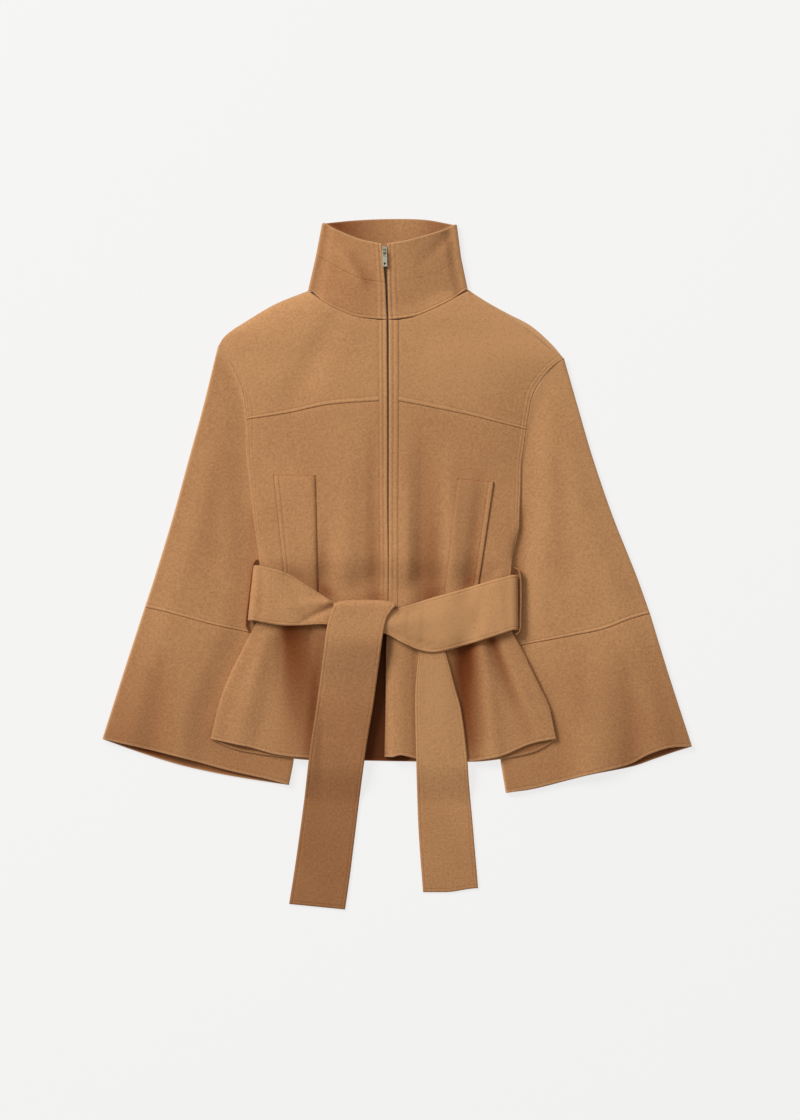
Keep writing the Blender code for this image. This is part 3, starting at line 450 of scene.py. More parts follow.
shoulder_right = curve([(90, 347), (124, 326), (147, 311), (173, 292), (192, 275), (212, 261)])
neck_left = curve([(-113, 347), (-86, 328), (-65, 318), (-49, 312.5), (-23, 309)])
neck_right = curve([(90, 347), (56, 328), (22, 313), (2, 309)])
yoke_left = curve([(-190, 184), (-137, 192), (-88, 202), (-22.5, 207)])
yoke_right = curve([(2, 207), (43, 199), (92, 189), (124, 181), (164, 171)])
hem_left = curve([(-236, -221), (-208, -227), (-185, -232), (-152, -241), (-110, -245), (-57, -246)])
hem_right = curve([(-5, -244), (5, -241.5), (24, -246), (42, -249), (90, -250), (118, -246),
                   (135, -242), (149, -236), (165, -229), (181, -224.5), (202, -221)])
placket_left_top = curve([(-23, 309), (-22.5, 207)])
placket_left_low = curve([(-22.5, 207), (-22, 82), (-22, -48), (-27, -96), (-42, -172), (-57, -246)])
placket_right_top = curve([(2, 309), (2, 207)])
placket_right_low = curve([(2, 207), (1, 82), (0.5, -48), (-4, -96), (-4.5, -172), (-5, -244)])

# Heights of the body, one row for each level down the front: the plan's side edges, the height
# of the cloth beside them and along the middle, and how far the edges close down on the back
Level = namedtuple("Level", "y left right edge middle closing")
BODY = [
    Level(347, -113, 90, 7.0, 21.0, 0.6),
    Level(330, -155, 118, 7.4, 22.0, 1.0),
    Level(309, -190, 150, 7.6, 22.0, 1.0),
    Level(290, -218, 176, 7.6, 21.0, 0.8),
    Level(262, -214, 212, 7.4, 20.0, 0.0),
    Level(222, -196, 177, 7.4, 18.5, 0.0),
    Level(184, -190, 167, 7.6, 17.5, 0.0),
    Level(105, -186, 157, 8.2, 17.0, 0.0),
    Level(60, -182, 156, 11.0, 18.0, 0.3),
    Level(31, -178, 150, 14.0, 19.0, 1.0),
    Level(5, -174, 146, 15.5, 20.0, 1.0),
    Level(-22, -172, 143, 15.0, 14.5, 1.0),
    Level(-60, -175, 143, 15.0, 14.0, 1.0),
    Level(-95, -190, 152, 14.5, 16.0, 1.0),
    Level(-150, -216, 179, 14.0, 13.0, 1.0),
    Level(-200, -232, 198, 13.0, 10.5, 1.0),
    Level(-250, -240, 205, 12.5, 9.0, 1.0),
]

# Folds of the front: where each runs, its half width and its rise at both ends (a trough is
# below zero), and how much steeper its right flank is than its left one
Fold = namedtuple("Fold", "name start end width width_end rise rise_end steep", defaults=[1.0])
FOLDS = [
    Fold("trough beside the zip", (-30, 160), (-27, -40), 9, 12, -0.5, -4.2),
    Fold("ridge left of the zip", (-62, 140), (-64, -38), 18, 18, 0.5, 4.5),
    Fold("trough inside the left welt", (-90, 50), (-93, -45), 11, 13, -0.5, -5.0),
    Fold("dent across the left yoke", (-84, 300), (-124, 225), 17, 20, -1.8, -2.0),
    Fold("ridge right of the zip", (13, 190), (12, -46), 20, 19, 0.3, 5.5, 2.0),
    Fold("trough right of that ridge", (33, 180), (31, -46), 8, 9, -0.3, -4.2, 0.4),
    Fold("ridge inside the right welt", (68, 110), (70, -38), 13, 13, 1.5, 3.5),
    Fold("hollow of the right welt", (106, 90), (92, -30), 12, 12, -2.0, -4.5),
    Fold("cone of the left skirt", (-166, -82), (-207, -232), 11, 24, 4.5, 5.5),
    Fold("hollow under the left band", (-138, -86), (-126, -225), 15, 24, -6.5, -2.5, 0.42),
    Fold("roll of the right front edge", (6, -90), (6, -250), 19, 19, 4.0, 4.5, 1.1),
    Fold("hollow under the right band", (86, -122), (90, -215), 18, 22, -7.0, -3.0),
    Fold("flute of the right skirt", (108, -106), (127, -250), 12, 18, 3.0, 4.0, 1.2),
    Fold("trough beside that flute", (122, -100), (166, -207), 9, 11, -6.0, -2.5),
    Fold("ridge along the right side", (141, -104), (182, -215), 10, 13, 2.0, 2.0),
]

# Places of the front with painted shade, as folds that darken its colour and don't move it
FRONT_PAINTED_SHADE = [
    Fold("under the left band", (-116, -80), (-108, -185), 22, 24, -4.5, -3.0),
    Fold("left of that", (-142, -82), (-132, -175), 10, 15, -5.0, -2.0, 0.5),
    Fold("beside the left end", (-95, -95), (-113, -235), 8, 8, -3.0, -4.0),
    Fold("under the right band", (92, -112), (100, -200), 24, 24, -7.0, -5.0),
    Fold("below the right band's edge", (80, -106), (138, -90), 7, 6, -3.5, -4.0),
    Fold("root of the trough", (122, -98), (142, -165), 8, 9, -5.0, -2.5),
    Fold("beside the right end", (76, -130), (96, -240), 9, 9, -3.0, -3.5),
    Fold("left flank of the roll", (-16, -95), (-17, -245), 6, 5, -5.0, -7.0),
    Fold("right flank of the roll", (21, -112), (22, -245), 4, 4, -4.0, -5.0),
    Fold("in the trough right of the zip", (46, 110), (46, -44), 15, 18, -0.5, -6.0),
    Fold("on the ridge right of the zip", (12, 150), (12, -46), 12, 12, -0.8, -4.2),
    Fold("along the roll", (5, -95), (5, -245), 14, 14, -4.2, -4.6),
    Fold("above the left band", (-146, -2), (-84, -36), 7, 9, -2.0, -4.0),
    Fold("above the knot", (-70, -44), (-14, -42), 8, 8, -2.5, -2.0),
    Fold("above the right band", (56, -32), (104, -16), 7, 6, -1.5, -2.5),
    Fold("low on the right welt", (98, 0), (84, -40), 14, 14, -2.0, -3.5),
]


def fold_rise(fold, x, y):
    run_x = fold.end[0] - fold.start[0]
    run_y = fold.end[1] - fold.start[1]
    run = math.hypot(run_x, run_y)
    t = ((x - fold.start[0]) * run_x + (y - fold.start[1]) * run_y) / run ** 2
    inside = min(max(t, 0.0), 1.0)
    past = abs(t - inside) * run
    side = ((y - fold.start[1]) * run_x - (x - fold.start[0]) * run_y) / run
    width = mix(fold.width, fold.width_end, inside)
    if side > 0:
        width /= fold.steep
    across = (side ** 2 + past ** 2 * 0.3) / width ** 2
    return mix(fold.rise, fold.rise_end, inside) * math.exp(-1.3 * across)


def body_sides(x, y):
    """The body's two side edges at a level, and how far x is from its middle towards them."""
    left = reading(BODY, "left", y)
    right = reading(BODY, "right", y)
    return left, right, min(abs(2 * x - left - right) / (right - left), 1.0)


@lru_cache(maxsize=None)
def loose_folds(x, y):
    """The front's folds alone, dying out at the sides."""
    across = body_sides(x, y)[2]
    return sum(fold_rise(fold, x, y) for fold in FOLDS) * min(1.0, 4 * (1 - across))


def front_folds(x, y):
    """The folds as the belt leaves them, pressed flatter beneath it."""
    under_belt = smooth((45 - abs(y + 55)) / 25)
    return loose_folds(x, y) * (1 - 0.7 * under_belt)


def front_shade(x, y):
    """How deep the front's folds and hollows lie in painted shade, and the painted light over the shoulders.
    """
    return (loose_folds(x, y) + sum(fold_rise(fold, x, y) for fold in FRONT_PAINTED_SHADE)
            + (PAINTED_SHOULDER_LIGHT + PAINTED_RIGHT_SHOULDER_LIGHT * smooth(x / 60)) * smooth((y - 180) / 70))


@lru_cache(maxsize=None)
def front_top(x, y):
    """Upper side of the front: a low dome with its folds, closed on the back at the sides."""
    left, right, across = body_sides(x, y)
    crown = 1 - across ** CROWN_POWER
    height = mix(reading(BODY, "edge", y), reading(BODY, "middle", y), crown) + front_folds(x, y)
    from_edge = max(min(x - left, right - x), 0.0)
    clearance = SIDE_CLEARANCE * smooth(from_edge / SIDE_ROUNDING)
    resting = back_under(x, y) + 2 * CLOTH + SEAM_GAP + clearance
    rounding = 1 - math.sqrt(1 - (1 - min(from_edge / SIDE_ROUNDING, 1.0)) ** 2)
    closed = reading(BODY, "closing", y) * rounding
    low = mix(height, resting, closed)
    return 0.5 * (low + resting + math.sqrt((low - resting) ** 2 + 0.16))


def below_armhole(side):
    """How much relief an edge keeps: a felled ridge to the underarm, a placket's seam to the belt."""
    def share(u, v):
        if (u < 0.5) != (side == "left"):
            return 1 - smooth((v - 0.50) / 0.08)
        return 1 - smooth((v - UNDERARM + 0.03) / 0.05)

    return share


panel("front_yoke_left",
      patch(turned(shoulder_left), yoke_left, armhole_top_left,
            joined(neck_left, placket_left_top, 0.5)),
      stations(155, 3.0, DOUBLE, FLUSH), stations(125, 3.0, PLAIN, LAPPED, 0.5),
      front_top, depth=front_shade)
panel("front_yoke_right",
      patch(shoulder_right, yoke_right, joined(neck_right, placket_right_top, 0.5),
            armhole_top_right),
      stations(155, 3.0, FLUSH, DOUBLE), stations(125, 3.0, PLAIN, LAPPED, 0.5),
      front_top, depth=front_shade)
panel("front_panel_left",
      patch(yoke_left, hem_left, joined(armhole_low_left, side_left, UNDERARM),
            placket_left_low),
      stations(170, 2.6, DOUBLE, FLUSH), stations(435, 3.2, TUCKED, HEM, UNDERARM),
      front_top, below_armhole("left"), front_shade)
panel("front_panel_right",
      patch(yoke_right, hem_right, placket_right_low,
            joined(armhole_low_right, side_right, UNDERARM)),
      stations(165, 2.6, FLUSH, DOUBLE), stations(430, 3.2, TUCKED, HEM, UNDERARM),
      front_top, below_armhole("right"), front_shade)


# Zip plackets
# A folded strip along each front edge covers the zip. It is stitched down beside the fold and
# again along the middle, and its folded edge stands up a little.

PLACKET_RISE = 0.6
YOKE_ON_PLACKET = 0.18
# Its folded edge has a little painted highlight through pale
PLACKET = [Station(0.0, -0.4), Station(0.06, -0.25), Station(0.13, 0.05, 0.05), Station(0.24, 0.2),
           Station(0.36, 0.12), Station(0.44, -0.15), Station(0.50, -0.3), Station(0.56, -0.1),
           Station(0.66, 0.25), Station(0.78, 0.4, 0.05), Station(0.88, 0.3, 0.1), Station(0.95, -0.1, 0.1),
           Station(0.99, -0.8)]
ROLL_DROP = 3.5
edge_left = curve([(-12.6, 309), (-11.9, 207), (-11.7, 82), (-11.6, -48), (-20, -96), (-33, -172),
                   (-46.5, -247)])
edge_right = curve([(-10.7, 309), (-10.5, 207), (-10.7, 82), (-11.0, -48), (-13.5, -96),
                    (-14.5, -172), (-16, -244)])


def placket_top(x, y):
    """Upper side of a placket: proud of the front above the belt, rolled down below it."""
    below_belt = smooth((BELT_LEVEL - y) / 35)
    roll = smooth((2 - x) / 17) ** 2 if x > -20 else 0.0
    return front_top(x, y) + PLACKET_RISE * (1 - below_belt) - ROLL_DROP * roll * below_belt


def placket(node, outside, inside_edge):
    """The strip between its seam and its folded edge, from the neckline to the hem."""
    def plan(u, v):
        return mix(outside(v), inside_edge(v), u)

    panel(node, plan, PLACKET, stations(555, 3.0, PLAIN, HEM), placket_top,
          lambda u, v: 1 - smooth((v - 0.58) / 0.08), front_shade)


placket("placket_left", joined(placket_left_top, placket_left_low, YOKE_ON_PLACKET), edge_left)
placket("placket_right", joined(placket_right_top, placket_right_low, YOKE_ON_PLACKET), edge_right)


# Sleeves and cuffs
# Wide sleeves that widen to deep cuffs. They lie folded flat beside the body, round at both long
# edges and a little full in between. The sleeve is lapped over the cuff at the seam.

TURN_STEPS = 6
# Painted shade on the tubes' inner sides and down the cuffs, and painted light on the right sleeve
INNER_PAINTED_SHADE = -2.0
CUFF_PAINTED_SHADE = 2.5
RIGHT_SLEEVE_PAINTED_LIGHT = 0.6

armhole_left = joined(armhole_top_left, armhole_low_left, 0.5)
armhole_right = joined(armhole_top_right, armhole_low_right, 0.5)
sleeve_outer_left = curve([(-227, 276), (-246, 199), (-263, 138), (-284, 62), (-307, -14), (-320, -54)])
sleeve_outer_right = curve([(212, 261), (230, 199), (248, 138), (274, 62), (304, -14), (321, -62)])
sleeve_inner_left = curve([(-178, 31), (-174, 12), (-168, -10), (-152, -45), (-133, -80), (-127, -100)])
sleeve_inner_right = curve([(155, 50), (150.5, 34), (145, 10), (132, -38), (124, -75), (122, -109)])
cuff_seam_left = curve([(-320, -54), (-293, -60), (-234, -76), (-192, -85), (-127, -100)])
cuff_seam_right = curve([(321, -62), (296, -69), (261, -82), (222, -90), (164, -101), (122, -109)])
cuff_outer_left = curve([(-320, -54), (-347, -137), (-374, -221.5)])
cuff_outer_right = curve([(321, -62), (344, -137), (374.5, -231)])
cuff_inner_left = curve([(-127, -100), (-123, -172), (-131, -248), (-137, -280)])
cuff_inner_right = curve([(122, -109), (121, -172), (131, -247), (138, -290)])
cuff_hem_left = curve([(-374, -221.5), (-331, -231), (-273, -245), (-215, -261), (-166, -272), (-137, -280)])
cuff_back_left = curve([(-374, -221.5), (-331, -237), (-281, -253), (-234, -264), (-196, -271), (-137, -280)])
cuff_hem_right = curve([(374.5, -231), (345, -232.5), (319, -241), (296, -253), (241, -267), (173, -284),
                        (138, -290)])
cuff_back_right = curve([(374.5, -231), (352, -238), (329, -246), (300, -256), (241, -268), (173, -285),
                         (138, -290)])

# Fullness of the sleeves, by level: the plan's outer edges and the body's edges over them
Fullness = namedtuple("Fullness", "y outer_left body_left body_right outer_right swell")
SLEEVE_FULLNESS = [
    Fullness(270, -228, -222, 205, 213, 0.0),
    Fullness(220, -241, -195, 175, 224, 2.0),
    Fullness(140, -262, -188, 159, 248, 4.0),
    Fullness(60, -284, -182, 156, 274, 4.5),
    Fullness(0, -303, -176, 147, 299, 4.5),
    Fullness(-60, -322, -178, 145, 320, 4.0),
    Fullness(-130, -345, -207, 170, 342, 4.5),
    Fullness(-200, -367, -232, 198, 364, 4.0),
    Fullness(-280, -380, -235, 203, 382, 3.0),
]
SLEEVE_FOLDS = [
    Fold("left cuff, trough by the outer edge", (-303, -150), (-316, -245), 16, 22, -1.2, -2.8),
    Fold("left cuff, ridge beside it", (-270, -130), (-268, -250), 22, 26, 0.6, 1.6),
    Fold("right cuff, trough by the outer edge", (296, -150), (300, -250), 16, 20, -1.5, -3.2),
    Fold("right cuff, ridge beside it", (262, -130), (252, -262), 20, 24, 0.8, 2.0),
    Fold("left sleeve, long soft trough", (-226, 190), (-232, 20), 14, 18, -0.8, -1.4),
    Fold("right sleeve, long soft trough", (204, 190), (214, -10), 14, 18, -0.8, -1.4),
]

Around = namedtuple("Around", "share angle rise pale", defaults=[0.0, 0.0])
ARMHOLE_EDGE = [Edge(0.05, 1.1), Edge(0.7, 1.3), Edge(2.0, 1.2), Edge(5.0, 0.8), Edge(10.0, 0.3),
                Edge(16.0, 0.0)]


@lru_cache(maxsize=None)
def sleeve_fullness(x, y):
    """How far the upper layer stands above the flat sleeve, outside the body's edge."""
    left = x < 0
    outer = reading(SLEEVE_FULLNESS, "outer_left" if left else "outer_right", y)
    body = reading(SLEEVE_FULLNESS, "body_left" if left else "body_right", y)
    from_outer = abs(outer - x) if (x > outer) == left else 0.0
    from_body = (body - x) if left else (x - body)
    room = smooth(from_outer / 40) * smooth((from_body - 6) / 36)
    folds = sum(fold_rise(fold, x, y) for fold in SLEEVE_FOLDS)
    return (reading(SLEEVE_FULLNESS, "swell", y) + folds) * room


# Places of the sleeves with painted shade, beside the body and low by the cuffs' outer edges
SLEEVE_PAINTED_SHADE = [
    Fold("beside the body, right", (160, 62), (151, -98), 7, 8, -2.5, -4.0),
    Fold("beside the skirt, right", (153, -110), (203, -212), 6, 6, -4.0, -2.0),
    Fold("beside the body, left", (-184, 60), (-184, -80), 5, 6, -1.5, -3.0),
    Fold("beside the skirt, left", (-184, -95), (-236, -215), 5, 5, -3.0, -2.0),
    Fold("low by the left cuff's outer edge", (-330, -110), (-352, -225), 16, 24, -0.5, -2.0),
    Fold("low by the right cuff's outer edge", (325, -120), (350, -225), 16, 24, -0.5, -2.0),
]


@lru_cache(maxsize=None)
def sleeve_shade(x, y):
    """The sleeves' folds with their painted shade, painted shade beside the body, and more down the cuffs."""
    folds = sum(fold_rise(fold, x, y) for fold in SLEEVE_FOLDS + SLEEVE_PAINTED_SHADE)
    return folds - CUFF_PAINTED_SHADE * smooth((BELT_LEVEL - y) / 180)


def sleeve_painted_light(x, y):
    """Painted light on the right sleeve, less down its cuff."""
    return RIGHT_SLEEVE_PAINTED_LIGHT * smooth(x / 40) * (1 - 0.5 * smooth((BELT_LEVEL - y) / 60))


def tube(node, over, under, width, rows):
    """A flattened sleeve between two plans, one for each layer, that share their long edges."""
    steps = round(width / 3.6)
    columns = [Around(i / steps, 90.0) for i in range(steps + 1)]
    # The turned rims carry a painted highlight in pale
    rim = [math.sin(math.pi * i / TURN_STEPS) for i in range(TURN_STEPS)]
    columns += [Around(1.0, 90.0 - 180.0 * i / TURN_STEPS, pale=rim[i]) for i in range(1, TURN_STEPS)]
    columns += [Around(1 - i / steps, -90.0) for i in range(steps + 1)]
    columns += [Around(0.0, -90.0 + 180.0 * i / TURN_STEPS, pale=rim[i]) for i in range(1, TURN_STEPS)]
    columns.append(columns[0])
    radius = SLEEVE_HEIGHT / 2

    def point(column, row, inside):
        lean = math.radians(column.angle)
        weight = 0.5 + 0.5 * math.sin(lean)
        depth = CLOTH if inside else 0.0

        def laid(s):
            return mix(under(s, row.share), over(s, row.share), weight)

        inset = radius / (laid(1) - laid(0)).length
        spot = laid(mix(inset, 1 - inset, column.share))
        if abs(column.angle) < 89:
            outward = (laid(column.share) - spot).normalized()
            spot = spot + outward * (radius - depth) * math.cos(lean)
        height = radius + (radius - depth) * math.sin(lean)
        height += sleeve_fullness(spot.x, spot.y) * weight
        if not inside:
            height += row.rise * weight
        return Vector((spot.x, spot.y, height))

    sew(node, columns, rows, point, closed=True, depth=sleeve_shade, inner=INNER_PAINTED_SHADE,
        light=sleeve_painted_light)


sleeve_rows = stations(290, 4.0, ARMHOLE_EDGE, LAPPED)
left_plan = patch(armhole_left, cuff_seam_left, sleeve_outer_left, sleeve_inner_left)
tube("sleeve_left", left_plan, left_plan, 230, sleeve_rows)
right_plan = patch(armhole_right, cuff_seam_right, sleeve_outer_right, sleeve_inner_right)
tube("sleeve_right", right_plan, right_plan, 230, sleeve_rows)

cuff_rows = stations(172, 4.0, TUCKED, HEM)
tube("sleeve_cuff_left", patch(cuff_seam_left, cuff_hem_left, cuff_outer_left, cuff_inner_left),
     patch(cuff_seam_left, cuff_back_left, cuff_outer_left, cuff_inner_left), 225, cuff_rows)
tube("sleeve_cuff_right", patch(cuff_seam_right, cuff_hem_right, cuff_outer_right, cuff_inner_right),
     patch(cuff_seam_right, cuff_back_right, cuff_outer_right, cuff_inner_right), 225, cuff_rows)


# Collar
# A high funnel of two courses, a stand and an upper collar, open at the centre front for the
# zip. Its back lies on the floor, its front arches over the neck, and both sides are folds.

COLLAR_SIDE_HEIGHT = SLEEVE_HEIGHT + 1.0
COLLAR_SEAM = 0.48

ARCH_POWER = 1.8
COLLAR_MIDDLE = -9.5
Course = namedtuple("Course", "share front_left front_right back side_left side_right arch edge")
COLLAR = [
    Course(0.00, neck_left, neck_right, back_neck, (-113, 347), (90, 348), 21.5, (-12.6, -10.7)),
    Course(COLLAR_SEAM, curve([(-103, 391), (-77, 377), (-51, 363), (-23, 355.5)]),
           curve([(81.5, 389), (65, 377), (30, 363), (-3, 356)]),
           curve([(-103, 391), (-12, 389), (81.5, 389)]), (-103, 391), (81.5, 389), 24.5, (-14.6, -12.0)),
    Course(1.00, curve([(-95, 433), (-68, 420), (-49, 412), (-25, 404.5)]),
           curve([(76, 431), (65, 426), (38, 417), (12, 409), (-4, 405)]),
           curve([(-95, 433), (-59, 436.5), (-12, 438.5), (38, 437.5), (76, 431)]),
           (-95, 433), (76, 431), 27.0, (-19.0, -12.4)),
]
COLLAR_FOLDS = [
    Fold("dent in the left half", (-52, 384), (-34, 356), 7, 9, -1.6, -2.8),
    Fold("ridge left of the dent", (-70, 392), (-48, 362), 10, 9, 1.4, 1.6, 1.6),
    Fold("hollow from the right corner", (70, 420), (38, 388), 8, 10, -2.4, -1.0),
]
# pale paints highlights along the collar's seam ridge and top edge
COLLAR_EDGE = [Edge(0.0, -1.0, 0.1), Edge(0.4, -0.1, 0.1), Edge(1.1, 0.35, 0.1), Edge(2.4, 0.4),
               Edge(3.8, 0.1), Edge(4.7, -0.5), Edge(5.6, 0.0), Edge(7.5, 0.3, 0.05), Edge(9.0, 0.1),
               Edge(10.0, -0.3), Edge(11.0, 0.0), Edge(13.0, 0.0)]
TOP_EDGE = [Edge(0.0, -0.9, 0.7), Edge(0.4, -0.1, 0.6), Edge(1.1, 0.3, 0.3), Edge(2.4, 0.2), Edge(5.0, 0.0)]
MIDDLE_SEAM = [Edge(0.0, -0.4), Edge(0.6, -0.2), Edge(1.4, 0.0), Edge(3.0, 0.0)]

Spot = namedtuple("Spot", "kind along rise pale", defaults=[0.0, 0.0])


def collar_span(share):
    """The two courses on either side of a level, and how far it lies between them."""
    low, high = (COLLAR[0], COLLAR[1]) if share <= COLLAR_SEAM else (COLLAR[1], COLLAR[2])
    return low, high, (share - low.share) / (high.share - low.share)


def collar_height(x, share):
    """Upper side of the collar's front: an arch from the sides to the centre front."""
    low, high, t = collar_span(share)
    left = mix(low.side_left[0], high.side_left[0], t)
    right = mix(low.side_right[0], high.side_right[0], t)
    across = min(abs(2 * x - left - right) / (right - left), 1.0)
    return mix(COLLAR_SIDE_HEIGHT, mix(low.arch, high.arch, t), 1 - across ** ARCH_POWER)


def collar_line(course, spot):
    """Where a place along the collar lies in plan, on one of its courses."""
    if spot.kind == "left":
        return course.front_left(spot.along)
    if spot.kind == "right":
        return course.front_right(spot.along)
    if spot.kind == "back":
        return course.back(spot.along)
    return Vector(course.side_left if spot.kind == "left turn" else course.side_right)


def collar_point(spot, row, inside):
    share = row.share
    low, high, t = collar_span(share)
    x, y = mix(collar_line(low, spot), collar_line(high, spot), t)
    radius = COLLAR_SIDE_HEIGHT / 2
    depth = CLOTH if inside else 0.0
    if spot.kind in ("left turn", "right turn"):
        lean = math.radians(spot.along)
        side = -1 if spot.kind == "left turn" else 1
        x += side * (radius - depth) * math.cos(lean) - side * radius
        return Vector((x, y, radius + (radius - depth) * math.sin(lean)))
    if spot.kind == "back":
        return Vector((x + radius * (1 - 2 * spot.along), y, depth))
    edge = mix(low.edge[0], high.edge[0], t) if spot.kind == "left" else mix(low.edge[1], high.edge[1], t)
    end = mix(collar_line(low, spot._replace(along=1.0)), collar_line(high, spot._replace(along=1.0)), t)
    reach = smooth((spot.along - 0.7) / 0.3)
    x += (edge - end.x) * reach
    height = mix(front_top(x, y), collar_height(x, share), smooth(share / 0.3))
    folds = sum(fold_rise(fold, x, y) for fold in COLLAR_FOLDS) * smooth(share / 0.2)
    away = smooth(spot.along / 0.25)
    height = mix(COLLAR_SIDE_HEIGHT, height + folds, away) if share > 0 else height
    x += radius * (1 - away) * (1 if spot.kind == "left" else -1)
    plain_right = 0.75 * smooth((0.05 - abs(share - COLLAR_SEAM)) / 0.03) if spot.kind == "right" else 0.0
    rise = 0.0 if inside else spot.rise + row.rise * (1 - plain_right)
    return Vector((x, y, height - depth + max(rise, -1.2)))


def collar_spots():
    """Places round the collar, from one edge of the zip over the back to the other."""
    front = stations(100, 2.6, STRAIGHT, COLLAR_EDGE)
    left = [Spot("left", place.share, place.rise, place.pale) for place in reversed(front)]
    right = [Spot("right", place.share, place.rise, place.pale) for place in front]
    spots = left
    # The side turns carry a painted highlight in pale
    spots += [Spot("left turn", 90 - 180 * i / TURN_STEPS, pale=0.3) for i in range(1, TURN_STEPS)]
    spots += [Spot("back", i / 50) for i in range(51)]
    spots += [Spot("right turn", -90 + 180 * i / TURN_STEPS, pale=0.5) for i in range(1, TURN_STEPS)]
    return spots + right


def course_rows(low, high, length, start, end):
    """Levels up one course of the collar."""
    return [place._replace(share=mix(low, high, place.share))
            for place in stations(length, 2.6, start, end)]


def collar_shade(x, y):
    """Painted shade in the collar's dents and on its back seen inside the neck, darker towards both sides,
    with painted shade on the left half and painted light on the right.
    """
    sideways = abs(x - COLLAR_MIDDLE)
    inside_neck = smooth((y - 405 - 28.5 * (sideways / 85) ** 2) / 5) * smooth((92 - sideways) / 8)
    dents = sum(fold_rise(fold, x, y) for fold in COLLAR_FOLDS)
    across = mix(-2.2, 3.0, smooth((x + 50) / 60))
    return dents + across - inside_neck * mix(3, 9, smooth((sideways - 20) / 55))


sew("collar_stand", collar_spots(), course_rows(0.0, COLLAR_SEAM, 46, LAPPED, MIDDLE_SEAM), collar_point,
    depth=collar_shade)
sew("collar_upper", collar_spots(), course_rows(COLLAR_SEAM, 1.0, 48, MIDDLE_SEAM, TOP_EDGE), collar_point,
    depth=collar_shade)


# Pocket welts
# A slanted strip on each front, sewn down along its top and its inner edge. Its outer edge is the
# pocket's mouth: it is folded, stands free of the front and has a stitch line beside the fold.

WELT_RISE = 2.1
WELT_GAP = 0.25
# The mouth's folded edge takes painted deep shade through a pale below zero
MOUTH = [Edge(0.0, -0.9, -0.7), Edge(0.4, -0.4, -0.4), Edge(1.1, 0.1), Edge(2.4, 0.25), Edge(4.2, 0.2),
         Edge(5.6, 0.0), Edge(6.3, -0.5), Edge(7.0, -0.05), Edge(8.5, 0.1), Edge(11.0, 0.0)]
SEWN_DOWN = [Edge(0.0, -1.7), Edge(0.5, -1.5), Edge(1.1, -1.0), Edge(2.0, -0.5), Edge(3.5, -0.15),
             Edge(6.0, 0.0)]


def welt(node, top_left, top_right, bottom_right, bottom_left, columns):
    corners = [Vector(p) for p in (top_left, top_right, bottom_right, bottom_left)]

    def point(column, row, inside):
        u = column.share
        x, y = mix(mix(corners[0], corners[1], u), mix(corners[3], corners[2], u), row.share)
        base = front_top(x, y) + WELT_GAP
        if inside:
            return Vector((x, y, base))
        return Vector((x, y, base + max(WELT_RISE + column.rise + row.rise, 0.35)))

    sew(node, columns, stations(165, 3.0, SEWN_DOWN, STRAIGHT), point,
        depth=front_shade)


welt("pocket_welt_left", (-157, 114), (-103, 113), (-99, -58), (-139, -50),
     stations(46, 2.2, MOUTH, SEWN_DOWN))
welt("pocket_welt_right", (76, 109), (123, 105), (100, -48), (57, -58),
     stations(46, 2.2, SEWN_DOWN, MOUTH))


# Belt
# A wide band of the same wool, two layers thick and stitched along both edges. It passes under the
# back, comes round both sides and is knotted once, and its two ends hang from the knot.

# The belt's edges carry a little painted highlight through pale
BELT_EDGE = [Edge(0.0, -1.5, 0.1), Edge(0.3, -0.8, 0.15), Edge(0.9, -0.3, 0.1), Edge(2.0, 0.0),
             Edge(3.2, 0.0), Edge(3.9, -0.35), Edge(4.6, -0.05), Edge(6.0, 0.05), Edge(9.0, 0.0)]
BELT_ACROSS = stations(BELT_WIDTH, 2.4, BELT_EDGE, BELT_EDGE)

Lift = namedtuple("Lift", "share lift")
BAND_LEFT = [Lift(0, 4.4), Lift(0.45, 4.6), Lift(0.6, 5.9), Lift(1, 6.1)]
BAND_RIGHT = [Lift(0, 4.2), Lift(0.25, 4.4), Lift(0.42, 5.8), Lift(0.6, 6.4), Lift(0.74, 10.3),
              Lift(1, 10.5)]

band_left_top = curve([(-173.5, -1), (-141, -10), (-114, -26), (-84, -45), (-70, -53), (-50, -60),
                       (-30, -68)])
band_left_bottom = curve([(-181, -71), (-146, -77), (-119, -77), (-88, -76), (-50, -86), (-30, -92)])
band_right_top = curve([(145.3, -13), (116, -21), (80, -32), (44, -42), (2, -55), (-40, -60), (-76, -62)])
band_right_bottom = curve([(146, -83), (116, -93), (80, -104), (50, -111), (31, -109), (7, -99),
                           (-13, -88), (-45, -80), (-78, -76)])
BAND_FOLDS = {
    "belt_band_left": [
        Fold("crease towards the knot", (-122, -73), (-82, -54), 4, 5, -1.0, -3.2),
        Fold("fullness above the crease", (-130, -54), (-88, -47), 12, 6, 1.0, 2.4),
    ],
    "belt_band_right": [
        Fold("fullness by the knot", (70, -62), (4, -74), 20, 12, 1.5, 2.5),
        Fold("fall to the knot's lower edge", (56, -110), (-8, -88), 9, 9, -2.0, -2.6),
        Fold("soft hollow by the side", (118, -44), (92, -84), 12, 14, -0.8, -0.8),
    ],
}
# Painted shade on the bands, as folds that darken their colour and don't move them
BAND_PAINTED_SHADE = {
    "belt_band_left": [
        Fold("turn at the side", (-174, -4), (-182, -72), 6, 9, -2.0, -4.0),
        Fold("under the crease", (-116, -74), (-84, -59), 6, 8, -1.5, -3.5),
        Fold("beside the knot", (-88, -46), (-91, -88), 5, 6, -4.0, -4.0),
    ],
    "belt_band_right": [
        Fold("rolled under by the knot", (60, -112), (-12, -88), 12, 15, -2.5, -4.5),
        Fold("beside the knot", (2, -54), (-18, -92), 10, 10, -4.0, -3.5),
    ],
}


